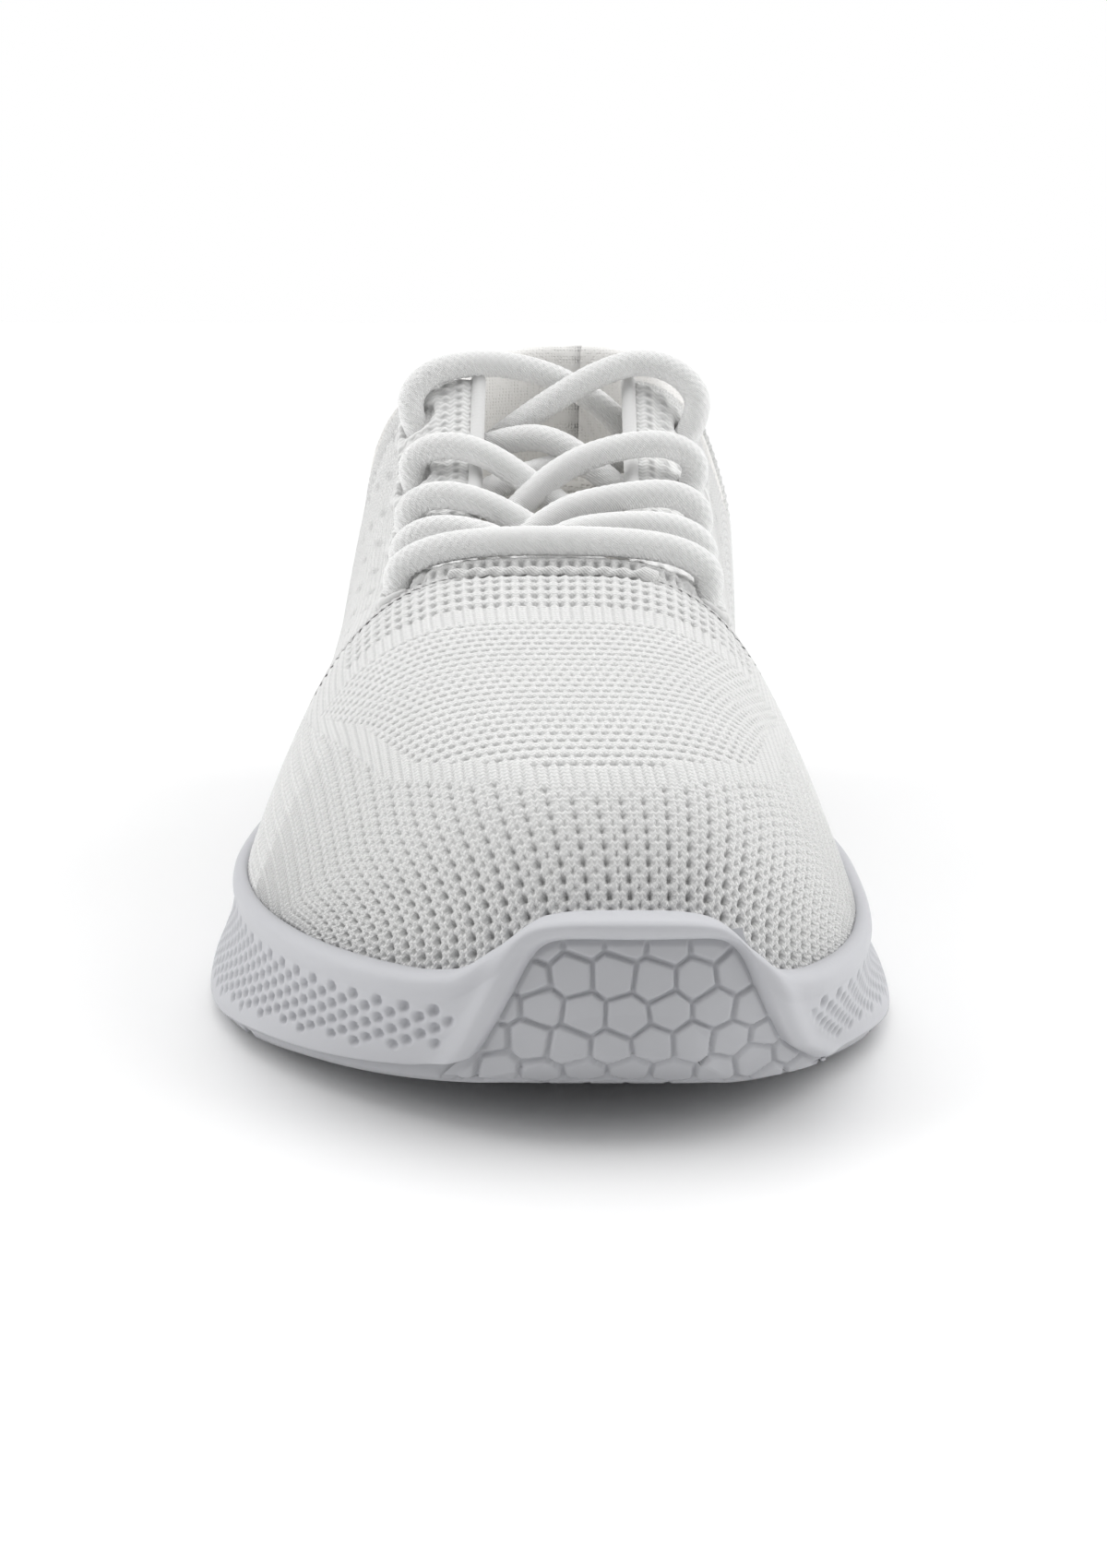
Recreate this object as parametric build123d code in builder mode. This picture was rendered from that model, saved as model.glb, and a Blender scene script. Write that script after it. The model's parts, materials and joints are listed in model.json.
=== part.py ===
"""Running shoe, right foot, built as an assembly of separate pieces (millimetres).

Frame: +Z up, the toe points to -Y and the heel to +Y, +X is the medial side.
The origin is the middle of the footprint on the ground. Stations along the shoe
are counted from the tip of the toe, so y = station - LENGTH / 2.
"""
from build123d import *
import math
import os

os.makedirs("parts", exist_ok=True)

# ---- driving dimensions ----------------------------------------------------
LENGTH = 297.0  # tip of the toe bumper to the back of the heel
FOOT_BED = 13.6  # top of the midsole floor, where the strobel board lies
BOARD_THICKNESS = 1.8
SOCKLINER_FOAM = 4.0
SOCKLINER_COVER = 0.8
OUTSOLE_THICKNESS = 3.6
BUMPER_THICKNESS = 2.2
KNIT_THICKNESS = 1.5
STIFFENER_THICKNESS = 0.9  # toe puff, heel counter and eyelet tapes
LINING_THICKNESS = 0.9
LAYER_GAP = 0.05  # between glued or sewn layers
COLLAR_FOAM = 5.0
LACE_DIAMETER = 5.0
EYELET_DIAMETER = 6.4
AGLET_LENGTH = 19.0
THROAT_CENTRE = 1.3
THROAT_HALF_WIDTH = 15.0
THROAT_START = 97.0  # station of the stitched end of the throat
EYESTAY_TOP = 174.0  # station of the upper end of the eyestays
PROFILE_REACH = 90.0  # half width of the cutting solids, wider than the shoe

# ---- plan outlines: where each side runs, as stations and x ------------------
# tip, ball, waist, heel width and back of one side, with the toe's roundness
LIP_LATERAL = dict(ball=(88, -48.8), waist=(165, -43.0), heel=(245, -37.5), toe=(2.0, 0.48))
LIP_MEDIAL = dict(ball=(78, 48.0), waist=(165, 38.5), heel=(245, 41.5), toe=(3.0, 0.40))
TREAD_LATERAL = dict(ball=(91, -54.9), waist=(160, -46.5), heel=(250, -41.5), toe=(2.0, 0.55))
TREAD_MEDIAL = dict(ball=(78, 54.9), waist=(165, 41.5), heel=(250, 44.5), toe=(2.0, 0.70))
TOE_X = 11.5
HEEL_X = 3.0
FORM_TIP, FORM_BACK = 6.0, 290.0
LIP_TIP, LIP_BACK = 1.93, 293.5
TREAD_TIP, TREAD_BACK = 8.0, 296.6
HEEL_ROUNDNESS = 2.2
HEEL_PINCH = 0.18  # share of the heel's width lost at its top edge
HEEL_LEAN = 6.0  # how far the heel's top edge leans to the toe
HEEL_SHIFT = 2.0  # and to the medial side
LEAN_START, LEAN_STATIONS = 200.0, 70.0
LEAN_BASE, LEAN_RISE = 44.0, 54.0

# ---- top line of the foot form over the vamp and instep ----------------------
TOP_STATIONS = (6, 7.2, 9.2, 13.5, 20.5, 30, 45, 62, 80, 95, 110, 130, 150, 172, 184, 196, 215, 240)
TOP_HEIGHTS = (24, 31, 36, 42.5, 48, 51.5, 55, 58.5, 62.5, 66.5, 67.8, 71.4, 80.2, 95, 104, 122,
               170, 240)
FORM_BASE = 20.0  # below this height the form's walls are upright
ROUNDNESS_STATIONS = (95, 118, 150, 165)
ROUNDNESS = (3.5, 3.8, 5.0, 5.3)  # how boxy the form's cross-section is
FORM_LEVELS = (FOOT_BED, 18, 23, 28, 33, 38, 43, 47.5, 51.5, 55, 59, 63, 67, 72, 78, 86, 96, 108)

# ---- sole side wall: height, mix from tread outline to lip outline, extra reach
WALL_HEIGHTS = (-2, 2.5, 6, 10, 14, 18, 21.5, 24.5, 30, 36)
WALL_MIX = (0.0, 0.05, 0.2, 0.5, 0.78, 0.95, 1.0, 1.0, 1.0, 1.0)
WALL_REACH = (-2.5, 0.6, 0.9, 1.2, 1.5, 1.8, 1.9, 1.7, 1.2, 0.8)

# ---- side profiles, as (station, height) -----------------------------------
TOE_SPRING = ((-6, 22), (3, 13), (12, 7.2), (38, 3.4), (62, 0.9), (84, 0))
HEEL_BEVEL = ((262, 0), (282, 1.6), (303, 8))
LIP_LINE = ((-4, 35.5), (4, 34.5), (7.5, 27), (12, 24.4), (40, 24.2), (90, 24.5),
            (160, 25.5), (230, 28), (275, 32), (300, 36))
COLLAR_LINE = ((160, 104), (173, 93.5), (186, 79), (204, 66.5), (222, 62.5),
               (244, 69), (264, 84), (280, 94), (292, 96.5), (306, 97))


# ---- helpers ----------------------------------------------------------------
def along(stations, values, station):
    """Smooth monotone curve through the given stations."""
    if station <= stations[0]:
        return values[0]
    if station >= stations[-1]:
        return values[-1]
    steps = [b - a for a, b in zip(stations, stations[1:])]
    slopes = [(b - a) / h for a, b, h in zip(values, values[1:], steps)]
    bends = [slopes[0]]
    for before, after, h0, h1 in zip(slopes, slopes[1:], steps, steps[1:]):
        if before * after <= 0:
            bends.append(0)
        else:
            bends.append(3 * (h0 + h1) / ((2 * h1 + h0) / before + (h1 + 2 * h0) / after))
    bends.append(slopes[-1])
    i = max(k for k in range(len(steps)) if stations[k] <= station)
    t = (station - stations[i]) / steps[i]
    low = (1 + 2 * t) * (1 - t) ** 2 * values[i] + t * (1 - t) ** 2 * steps[i] * bends[i]
    high = t * t * (3 - 2 * t) * values[i + 1] + t * t * (t - 1) * steps[i] * bends[i + 1]
    return low + high


def ease(a, b, t):
    """From a to b with level ends."""
    return a + (b - a) * (1 - math.cos(math.pi * min(max(t, 0), 1))) / 2


def side_x(side, station, tip, back):
    """x of a plan outline's side at a station between its tip and its back."""
    (ball, ball_x), (waist, waist_x), (heel, heel_x) = side["ball"], side["waist"], side["heel"]
    power, root = side["toe"]
    if station < ball:
        t = max((station - tip) / (ball - tip), 0)
        return TOE_X + (ball_x - TOE_X) * (1 - (1 - t) ** power) ** root
    if station < waist:
        return ease(ball_x, waist_x, (station - ball) / (waist - ball))
    if station < heel:
        return ease(waist_x, heel_x, (station - waist) / (heel - waist))
    t = min((station - heel) / (back - heel), 1)
    return HEEL_X + (heel_x - HEEL_X) * (1 - t ** HEEL_ROUNDNESS) ** 0.5


def form_top(station, grow):
    """Height of the foot form's top line, grown outward by a thickness."""
    step = 0.5
    here = along(TOP_STATIONS, TOP_HEIGHTS, station + grow)
    slope = (along(TOP_STATIONS, TOP_HEIGHTS, station + grow + step) - here) / step
    return here + grow * (math.hypot(1, slope) - slope)


def form_x(side, sign, station, height, grow):
    """x of the foot form's wall at a station and a height."""
    tip, back = FORM_TIP - grow, FORM_BACK + grow
    middle = along((0, 30, 90, 160, LENGTH), (TOE_X, 7, 1.3, 1.0, HEEL_X), station)
    climb = (height - FORM_BASE) / (form_top(station, grow) - FORM_BASE)
    climb = min(max(climb, 0), 1)
    wall = side_x(side, station, tip, back) + sign * grow * min(1, (station - tip) / 12)
    if station > side["heel"][0]:
        left = max(back - station, 0) / (back - side["heel"][0])
        wall = side_x(side, station, tip, back) + sign * grow * min(1, left * 3)
    roundness = along(ROUNDNESS_STATIONS, ROUNDNESS, station)
    return middle + (wall - middle) * (1 - climb) ** (1 / roundness)


def form_front(height, grow):
    """Station where the form's top line reaches a height."""
    low, high = FORM_TIP - grow, TOP_STATIONS[-1]
    if form_top(low, grow) >= height:
        return low
    for _ in range(40):
        middle = (low + high) / 2
        if form_top(middle, grow) < height:
            low = middle
        else:
            high = middle
    return high


def outline_points(x_of, front, back):
    """Closed outline: up the medial side from toe to heel and back down the lateral."""
    join = max(front + 40, 105)
    stations = [front + (join - front) * u ** 3 for u in (0.16, 0.3, 0.44, 0.58, 0.72, 0.86, 1)]
    heel_start = 245.0
    stations += [join + (heel_start - join) * u / 4 for u in (1, 2, 3, 4)]
    stations += [heel_start + (back - heel_start) * u for u in (0.4, 0.7, 0.9, 0.98)]
    medial = [(x_of(1, s), s - LENGTH / 2) for s in stations]
    lateral = [(x_of(-1, s), s - LENGTH / 2) for s in reversed(stations)]
    tip = [((x_of(1, front) + x_of(-1, front)) / 2, front - LENGTH / 2)]
    heel = [(HEEL_X, back - LENGTH / 2)]
    return tip + medial + heel + lateral


def leaned(points, height):
    """Plan points moved as the heel narrows and leans forward with height."""
    moved = []
    for x, y in points:
        along_heel = ease(0, 1, (y + LENGTH / 2 - LEAN_START) / LEAN_STATIONS)
        lean = along_heel * ease(0, 1, (height - LEAN_BASE) / LEAN_RISE)
        narrowed = HEEL_X + (x - HEEL_X) * (1 - HEEL_PINCH * lean)
        moved.append((narrowed + HEEL_SHIFT * lean, y - HEEL_LEAN * lean))
    return moved


def form_outline(height, grow):
    """Outline of the foot form at a height."""
    sides = {1: LIP_MEDIAL, -1: LIP_LATERAL}
    front = form_front(height, grow)
    upright = outline_points(lambda sign, s: form_x(sides[sign], sign, s, height, grow),
                             front, FORM_BACK + grow)
    return leaned(upright, height)


def foot_form(grow, overhang=0.0):
    """Solid of the foot form, grown or shrunk evenly, with its flat ends overhanging."""
    first, *between, last = FORM_LEVELS
    with BuildPart(mode=Mode.PRIVATE) as form:
        for height in (first - overhang, *between, last + overhang):
            with BuildSketch(Plane.XY.offset(height)):
                with BuildLine():
                    Spline(*form_outline(height, grow), periodic=True)
                make_face()
        loft()
    return form.part


def wall_outline(height, shrink):
    """Outline of the sole's side wall at a height."""
    mix = along(WALL_HEIGHTS, WALL_MIX, height)
    reach = along(WALL_HEIGHTS, WALL_REACH, height) - shrink
    tip = TREAD_TIP + (LIP_TIP - TREAD_TIP) * mix - reach
    back = TREAD_BACK + (LIP_BACK - TREAD_BACK) * mix + reach

    def wall_x(sign, station):
        tread, lip = (TREAD_MEDIAL, LIP_MEDIAL) if sign > 0 else (TREAD_LATERAL, LIP_LATERAL)
        low, high = side_x(tread, station, tip, back), side_x(lip, station, tip, back)
        fade = min(1, (station - tip) / 12, 3 * (back - station) / 45)
        return low + (high - low) * mix + sign * reach * fade

    return outline_points(wall_x, tip, back)


def sole_block(shrink):
    """Solid inside the sole's side wall, before its bottom and lip are cut."""
    with BuildPart(mode=Mode.PRIVATE) as block:
        for height in WALL_HEIGHTS:
            with BuildSketch(Plane.XY.offset(height)):
                with BuildLine():
                    Spline(*wall_outline(height, shrink), periodic=True)
                make_face()
        loft()
    return block.part


def side_slab(curve, far_height):
    """Solid across the shoe between a side profile and a far level."""
    points = [(s - LENGTH / 2, z) for s, z in curve]
    (first, _), (last, _) = points[0], points[-1]
    with BuildPart(mode=Mode.PRIVATE) as slab:
        with BuildSketch(Plane.YZ):
            with BuildLine():
                Spline(*points)
                Polyline(points[-1], (last, far_height), (first, far_height), points[0])
            make_face()
        extrude(amount=PROFILE_REACH, both=True)
    return slab.part


def ground_slab(height, far_height):
    """Solid across the shoe below the sole's rockered underside, raised by a height."""
    toe = [(s - LENGTH / 2, z + height) for s, z in TOE_SPRING]
    heel = [(s - LENGTH / 2, z + height) for s, z in HEEL_BEVEL]
    with BuildPart(mode=Mode.PRIVATE) as slab:
        with BuildSketch(Plane.YZ):
            with BuildLine():
                Spline(*toe, tangents=((1, -1), (1, 0)))
                Line(toe[-1], heel[0])
                Spline(*heel, tangents=((1, 0), (1, 0.4)))
                Polyline(heel[-1], (heel[-1][0], far_height), (toe[0][0], far_height), toe[0])
            make_face()
        extrude(amount=PROFILE_REACH, both=True)
    return slab.part


def rear_wall(outside, inside, start, levels):
    """Wall round the back of the foot form, between two growths of it."""
    sides = {1: LIP_MEDIAL, -1: LIP_LATERAL}

    def rear_line(height, grow):
        back = FORM_BACK + grow
        first = max(start, form_front(height, inside) + 8)
        stations = [first + (back - first) * u for u in (0, 0.25, 0.5, 0.7, 0.85, 0.95, 0.99)]
        runs = {sign: [(form_x(sides[sign], sign, s, height, grow), s - LENGTH / 2)
                       for s in stations] for sign in sides}
        return leaned(runs[1] + [(HEEL_X, back - LENGTH / 2)] + runs[-1][::-1], height)

    with BuildPart(mode=Mode.PRIVATE) as wall:
        for height in levels:
            outer, inner = rear_line(height, outside), rear_line(height, inside)
            with BuildSketch(Plane.XY.offset(height)):
                with BuildLine():
                    Spline(*outer)
                    Line(outer[-1], inner[-1])
                    Spline(*inner[::-1])
                    Line(inner[0], outer[0])
                make_face()
        loft()
    return wall.part


def plan_prism(points, low, high):
    """Upright prism over a plan polygon given as (x, station)."""
    with BuildPart(mode=Mode.PRIVATE) as prism:
        with BuildSketch(Plane.XY.offset(low)):
            with BuildLine():
                Polyline(*[(x, s - LENGTH / 2) for x, s in points], close=True)
            make_face()
        extrude(amount=high - low)
    return prism.part


def surface_height(x, station, grow=0.0):
    """Height of the foot form over a point of the plan."""
    side, sign = (LIP_MEDIAL, 1) if x > THROAT_CENTRE else (LIP_LATERAL, -1)
    low, high = FORM_BASE, form_top(station, grow)
    for _ in range(40):
        middle = (low + high) / 2
        reach = abs(form_x(side, sign, station, middle, grow) - THROAT_CENTRE)
        if reach > abs(x - THROAT_CENTRE):
            low = middle
        else:
            high = middle
    return high


def raised(curve, height):
    """A side profile moved up."""
    return tuple((s, z + height) for s, z in curve)


def band(x_low, x_high, s_low, s_high):
    """Upright block over a rectangle of the plan."""
    corners = ((x_low, s_low), (x_high, s_low), (x_high, s_high), (x_low, s_high))
    return plan_prism(corners, 5, 120)


# ---- shared solids ---------------------------------------------------------
SKIN = KNIT_THICKNESS + LAYER_GAP
BEHIND_STIFFENER = SKIN + STIFFENER_THICKNESS
LINING_FACE = BEHIND_STIFFENER + LAYER_GAP
LINING_BACK = LINING_FACE + LINING_THICKNESS
BEHIND_COLLAR = LINING_FACE + COLLAR_FOAM
COLLAR_BACK = BEHIND_COLLAR + LAYER_GAP + LINING_THICKNESS
OVERHANG = 2.0

outer_form = foot_form(0)
sole_outside = sole_block(0)
under_sole = ground_slab(0, -30)
under_midsole = ground_slab(OUTSOLE_THICKNESS, -30)
over_lip = side_slab(LIP_LINE, 60)
over_collar = side_slab(COLLAR_LINE, 150)

# The throat: a slot along the instep with round lower corners.
with BuildPart() as throat_slot:
    with BuildSketch(Plane.XY.offset(40)):
        with Locations((THROAT_CENTRE, (THROAT_START + 200) / 2 - LENGTH / 2)):
            RectangleRounded(2 * THROAT_HALF_WIDTH, 200 - THROAT_START, 6)
    extrude(amount=90)

# ---- eyelets ---------------------------------------------------------------
EYELET_STATIONS = (103, 118.5, 134, 149.5, 165)
EYELET_REACH = 25.0  # from the middle of the throat
EYELET_LEAN = 30.0  # degrees, the holes lean out with the knit's surface


def eyelet_holes(sign):
    """Five punches along one side of the throat."""
    with BuildPart(mode=Mode.PRIVATE) as punches:
        for station in EYELET_STATIONS:
            x = THROAT_CENTRE + sign * EYELET_REACH
            place = (x, station - LENGTH / 2, surface_height(x, station))
            with Locations(Location(place, (0, sign * EYELET_LEAN, 0))):
                Cylinder(EYELET_DIAMETER / 2, 16)
    return punches.part


lateral_holes = eyelet_holes(-1)
medial_holes = eyelet_holes(1)

# ---- outsole: ground layer that wraps up over the toe as a bumper ------------
BUMPER_FACE = ((-16, 4), (-9.5, 12), (-1, 30.2), (26, 30.2), (33.5, 12), (40, 4))
GROOVE_STATIONS = (52, 70, 88, 106, 124, 228, 246, 264)
GROOVE_WIDTH = 2.6
GROOVE_DEPTH = 1.4

bumper_core = sole_block(BUMPER_THICKNESS)
with BuildPart() as bumper_window:
    with BuildSketch(Plane.XZ.offset(LENGTH / 2 - 20)):
        with BuildLine():
            Polyline(*BUMPER_FACE, close=True)
        make_face()
    extrude(amount=30)

with BuildPart() as bumper:
    add(sole_outside)
    add(bumper_window.part, mode=Mode.INTERSECT)
    add(bumper_core, mode=Mode.SUBTRACT)

with BuildPart() as outsole:
    add(sole_outside)
    add(under_midsole, mode=Mode.INTERSECT)
    add(bumper.part)
    add(under_sole, mode=Mode.SUBTRACT)
    for groove in GROOVE_STATIONS:
        with Locations((0, groove - LENGTH / 2, 0)):
            Box(2 * PROFILE_REACH, GROOVE_WIDTH, 2 * GROOVE_DEPTH, mode=Mode.SUBTRACT)
outsole.part.label = "outsole"
export_step(outsole.part, "parts/outsole.step")

# ---- midsole: foam cup with a dimpled wall and a rolled lip ------------------
foot_well = foot_form(LAYER_GAP)
with BuildPart() as midsole:
    add(sole_outside)
    add(under_midsole, mode=Mode.SUBTRACT)
    add(bumper.part, mode=Mode.SUBTRACT)
    add(over_lip, mode=Mode.SUBTRACT)
    add(foot_well, mode=Mode.SUBTRACT)
midsole.part.label = "midsole"
export_step(midsole.part, "parts/midsole.step")

# ---- upper: one knitted shell, vamp and quarters together --------------------
with BuildPart() as upper_knit:
    add(outer_form)
    add(foot_form(-KNIT_THICKNESS, OVERHANG), mode=Mode.SUBTRACT)
    add(over_collar, mode=Mode.SUBTRACT)
    add(throat_slot.part, mode=Mode.SUBTRACT)
    add(lateral_holes, mode=Mode.SUBTRACT)
    add(medial_holes, mode=Mode.SUBTRACT)
upper_knit.part.label = "upper_knit"
export_step(upper_knit.part, "parts/upper_knit.step")

# ---- stiffener layer between the knit and the lining --------------------------
PUFF_END = 40.0
COUNTER_START = 226.0
COUNTER_LINE = ((218, 18), (236, 48), (262, 62), (300, 66))
stiffener_outside = foot_form(-SKIN - LAYER_GAP)
stiffener_inside = foot_form(-BEHIND_STIFFENER, OVERHANG)

with BuildPart() as stiffener_layer:
    add(stiffener_outside)
    add(stiffener_inside, mode=Mode.SUBTRACT)

with BuildPart() as toe_puff:
    add(stiffener_layer.part)
    add(band(-80, 80, -10, PUFF_END), mode=Mode.INTERSECT)
toe_puff.part.label = "toe_puff"
export_step(toe_puff.part, "parts/toe_puff.step")

with BuildPart() as heel_counter:
    add(stiffener_layer.part)
    add(band(-80, 80, COUNTER_START, 320), mode=Mode.INTERSECT)
    add(side_slab(COUNTER_LINE, 150), mode=Mode.SUBTRACT)
heel_counter.part.label = "heel_counter"
export_step(heel_counter.part, "parts/heel_counter.step")

TAPE_INNER, TAPE_OUTER = THROAT_HALF_WIDTH + 0.4, 30.5  # from the middle of the throat
TAPE_START, TAPE_END = 98.5, 172.0
for side_name, sign, holes in (("lateral", -1, lateral_holes), ("medial", 1, medial_holes)):
    near, far = sorted((THROAT_CENTRE + sign * TAPE_INNER, THROAT_CENTRE + sign * TAPE_OUTER))
    with BuildPart() as eyelet_tape:
        add(stiffener_layer.part)
        add(band(near, far, TAPE_START, TAPE_END), mode=Mode.INTERSECT)
        add(over_collar, mode=Mode.SUBTRACT)
        add(holes, mode=Mode.SUBTRACT)
    eyelet_tape.part.label = f"eyelet_tape_{side_name}"
    export_step(eyelet_tape.part, f"parts/eyelet_tape_{side_name}.step")

# ---- linings: thin mesh inside the whole upper, and a soft one round the collar
COLLAR_FOOT = ((176, 98), (186, 70), (204, 46), (232, 40), (262, 46), (306, 52))
below_collar_foot = side_slab(COLLAR_FOOT, -20)
above_collar_foot = side_slab(raised(COLLAR_FOOT, -0.3), 150)

with BuildPart() as lining:
    add(foot_form(-LINING_FACE))
    add(foot_form(-LINING_BACK, OVERHANG), mode=Mode.SUBTRACT)
    add(above_collar_foot, mode=Mode.SUBTRACT)
    add(over_collar, mode=Mode.SUBTRACT)
    add(throat_slot.part, mode=Mode.SUBTRACT)
    add(lateral_holes, mode=Mode.SUBTRACT)
    add(medial_holes, mode=Mode.SUBTRACT)
lining.part.label = "lining"
export_step(lining.part, "parts/lining.step")

COLLAR_START = 178.0
COLLAR_CLEARANCE = 0.45  # glue gap between the collar foam and the layer outside it
COLLAR_LEVELS = (36, 48, 60, 72, 84, 96, 104)
with BuildPart() as collar_foam:
    add(rear_wall(-LINING_FACE - COLLAR_CLEARANCE, -BEHIND_COLLAR, COLLAR_START, COLLAR_LEVELS))
    add(below_collar_foot, mode=Mode.SUBTRACT)
    add(over_collar, mode=Mode.SUBTRACT)
collar_foam.part.label = "collar_foam"
export_step(collar_foam.part, "parts/collar_foam.step")

with BuildPart() as collar_lining:
    add(rear_wall(-BEHIND_COLLAR - LAYER_GAP, -COLLAR_BACK, COLLAR_START, COLLAR_LEVELS))
    add(below_collar_foot, mode=Mode.SUBTRACT)
    add(over_collar, mode=Mode.SUBTRACT)
collar_lining.part.label = "collar_lining"
export_step(collar_lining.part, "parts/collar_lining.step")

# ---- throat trims: ribbed eyestays, rolled bindings and the end seam ----------
EYESTAY_THICKNESS = 1.4
BINDING_WIDTH = 2.0
BINDING_RISE = 1.6
STRIP_INNER, STRIP_OUTER = THROAT_HALF_WIDTH + 0.4, 29.0
TRIM_START = 99.5
over_eyestay = side_slab(raised(COLLAR_LINE, EYESTAY_THICKNESS), 150)

eyestay_layer = foot_form(EYESTAY_THICKNESS)
knit_face = foot_form(LAYER_GAP, OVERHANG)
binding_top = foot_form(BINDING_RISE)
binding_foot = foot_form(-LINING_BACK - LAYER_GAP, OVERHANG)
for side_name, sign, holes in (("lateral", -1, lateral_holes), ("medial", 1, medial_holes)):
    near, far = sorted((THROAT_CENTRE + sign * STRIP_INNER, THROAT_CENTRE + sign * STRIP_OUTER))
    with BuildPart() as eyestay:
        add(eyestay_layer)
        add(knit_face, mode=Mode.SUBTRACT)
        add(band(near, far, TRIM_START, EYESTAY_TOP), mode=Mode.INTERSECT)
        add(over_eyestay, mode=Mode.SUBTRACT)
        add(holes, mode=Mode.SUBTRACT)
    eyestay.part.label = f"eyestay_{side_name}"
    export_step(eyestay.part, f"parts/eyestay_{side_name}.step")

    edge = THROAT_HALF_WIDTH - LAYER_GAP
    near, far = sorted((THROAT_CENTRE + sign * (edge - BINDING_WIDTH), THROAT_CENTRE + sign * edge))
    with BuildPart() as throat_binding:
        add(binding_top)
        add(binding_foot, mode=Mode.SUBTRACT)
        add(band(near, far, TRIM_START + 4, EYESTAY_TOP), mode=Mode.INTERSECT)
        add(over_eyestay, mode=Mode.SUBTRACT)
    throat_binding.part.label = f"throat_binding_{side_name}"
    export_step(throat_binding.part, f"parts/throat_binding_{side_name}.step")

SEAM_WIDTH = 2.6
SEAM_RISE = 2.0
SEAM_REACH = 17.0
with BuildPart() as throat_seam:
    add(foot_form(SEAM_RISE))
    add(knit_face, mode=Mode.SUBTRACT)
    add(band(THROAT_CENTRE - SEAM_REACH, THROAT_CENTRE + SEAM_REACH,
             THROAT_START - SEAM_WIDTH - 0.4, THROAT_START - 0.4), mode=Mode.INTERSECT)
throat_seam.part.label = "throat_seam"
export_step(throat_seam.part, "parts/throat_seam.step")

# ---- heel tape: covers the back seam of the knit -------------------------------
HEEL_TAPE_WIDTH = 12.0
HEEL_TAPE_INSIDE = 0.35  # clear of the knit's face
HEEL_TAPE_OUTSIDE = 1.25
with BuildPart() as heel_tape:
    add(rear_wall(HEEL_TAPE_OUTSIDE, HEEL_TAPE_INSIDE, 240, (26, *COLLAR_LEVELS)))
    add(band(HEEL_X - HEEL_TAPE_WIDTH / 2, HEEL_X + HEEL_TAPE_WIDTH / 2, 270, 310),
        mode=Mode.INTERSECT)
    add(side_slab(raised(LIP_LINE, 0.3), -20), mode=Mode.SUBTRACT)
    add(over_collar, mode=Mode.SUBTRACT)
heel_tape.part.label = "heel_tape"
export_step(heel_tape.part, "parts/heel_tape.step")


# ---- bottom layers inside the shoe ----------------------------------------------
def foot_plate(shrink, low, thickness):
    """Flat plate with the shape of the foot form's base."""
    with BuildPart(mode=Mode.PRIVATE) as plate:
        with BuildSketch(Plane.XY.offset(low)):
            with BuildLine():
                Spline(*form_outline(FORM_BASE, -shrink), periodic=True)
            make_face()
        extrude(amount=thickness)
    return plate.part


SOCKLINER_CLEARANCE = 2.2
board_top = FOOT_BED + LAYER_GAP + BOARD_THICKNESS
foam_low = board_top + 0.3
cover_low = foam_low + SOCKLINER_FOAM
sockliner_shrink = LINING_BACK + SOCKLINER_CLEARANCE

with BuildPart() as strobel_board:
    add(foot_plate(LINING_BACK + 4 * LAYER_GAP, FOOT_BED + LAYER_GAP, BOARD_THICKNESS))
strobel_board.part.label = "strobel_board"
export_step(strobel_board.part, "parts/strobel_board.step")

with BuildPart() as sockliner_foam:
    add(foot_plate(sockliner_shrink, foam_low, SOCKLINER_FOAM))
sockliner_foam.part.label = "sockliner_foam"
export_step(sockliner_foam.part, "parts/sockliner_foam.step")

with BuildPart() as sockliner_cover:
    add(foot_plate(sockliner_shrink, cover_low, SOCKLINER_COVER))
sockliner_cover.part.label = "sockliner_cover"
export_step(sockliner_cover.part, "parts/sockliner_cover.step")

# ---- tongue: knit, foam and lining, hinged at its sewn end ----------------------
TONGUE_LINE_STATIONS = (92, 99, 107, 115, 125, 140, 155, 170)
TONGUE_LINE_HEIGHTS = (60.5, 59.3, 56.8, 56.0, 57.5, 63.0, 70.5, 79.0)
TONGUE_HALF_WIDTHS = (12.5, 14.0, 16.0, 18.0, 19.5, 20.5, 20.5, 17.0)
TONGUE_CROWN = 4.5  # how far the edges hang below the middle
TONGUE_LAYERS = (("tongue_knit", 0.0, 1.2), ("tongue_foam", 1.2, 4.0), ("tongue_lining", 5.2, 0.8))

for layer_name, depth, thickness in TONGUE_LAYERS:
    with BuildPart() as tongue_layer:
        for station, height, half in zip(TONGUE_LINE_STATIONS, TONGUE_LINE_HEIGHTS,
                                         TONGUE_HALF_WIDTHS):
            with BuildSketch(Plane.XZ.offset(LENGTH / 2 - station)):
                top, low = height - depth, height - depth - thickness
                left, right = THROAT_CENTRE - half, THROAT_CENTRE + half
                with BuildLine():
                    ThreePointArc((left, top - TONGUE_CROWN), (THROAT_CENTRE, top),
                                  (right, top - TONGUE_CROWN))
                    Line((right, top - TONGUE_CROWN), (right, low - TONGUE_CROWN))
                    ThreePointArc((right, low - TONGUE_CROWN), (THROAT_CENTRE, low),
                                  (left, low - TONGUE_CROWN))
                    Line((left, low - TONGUE_CROWN), (left, top - TONGUE_CROWN))
                make_face()
        loft()
    tongue_layer.part.label = layer_name
    export_step(tongue_layer.part, f"parts/{layer_name}.step")

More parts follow.
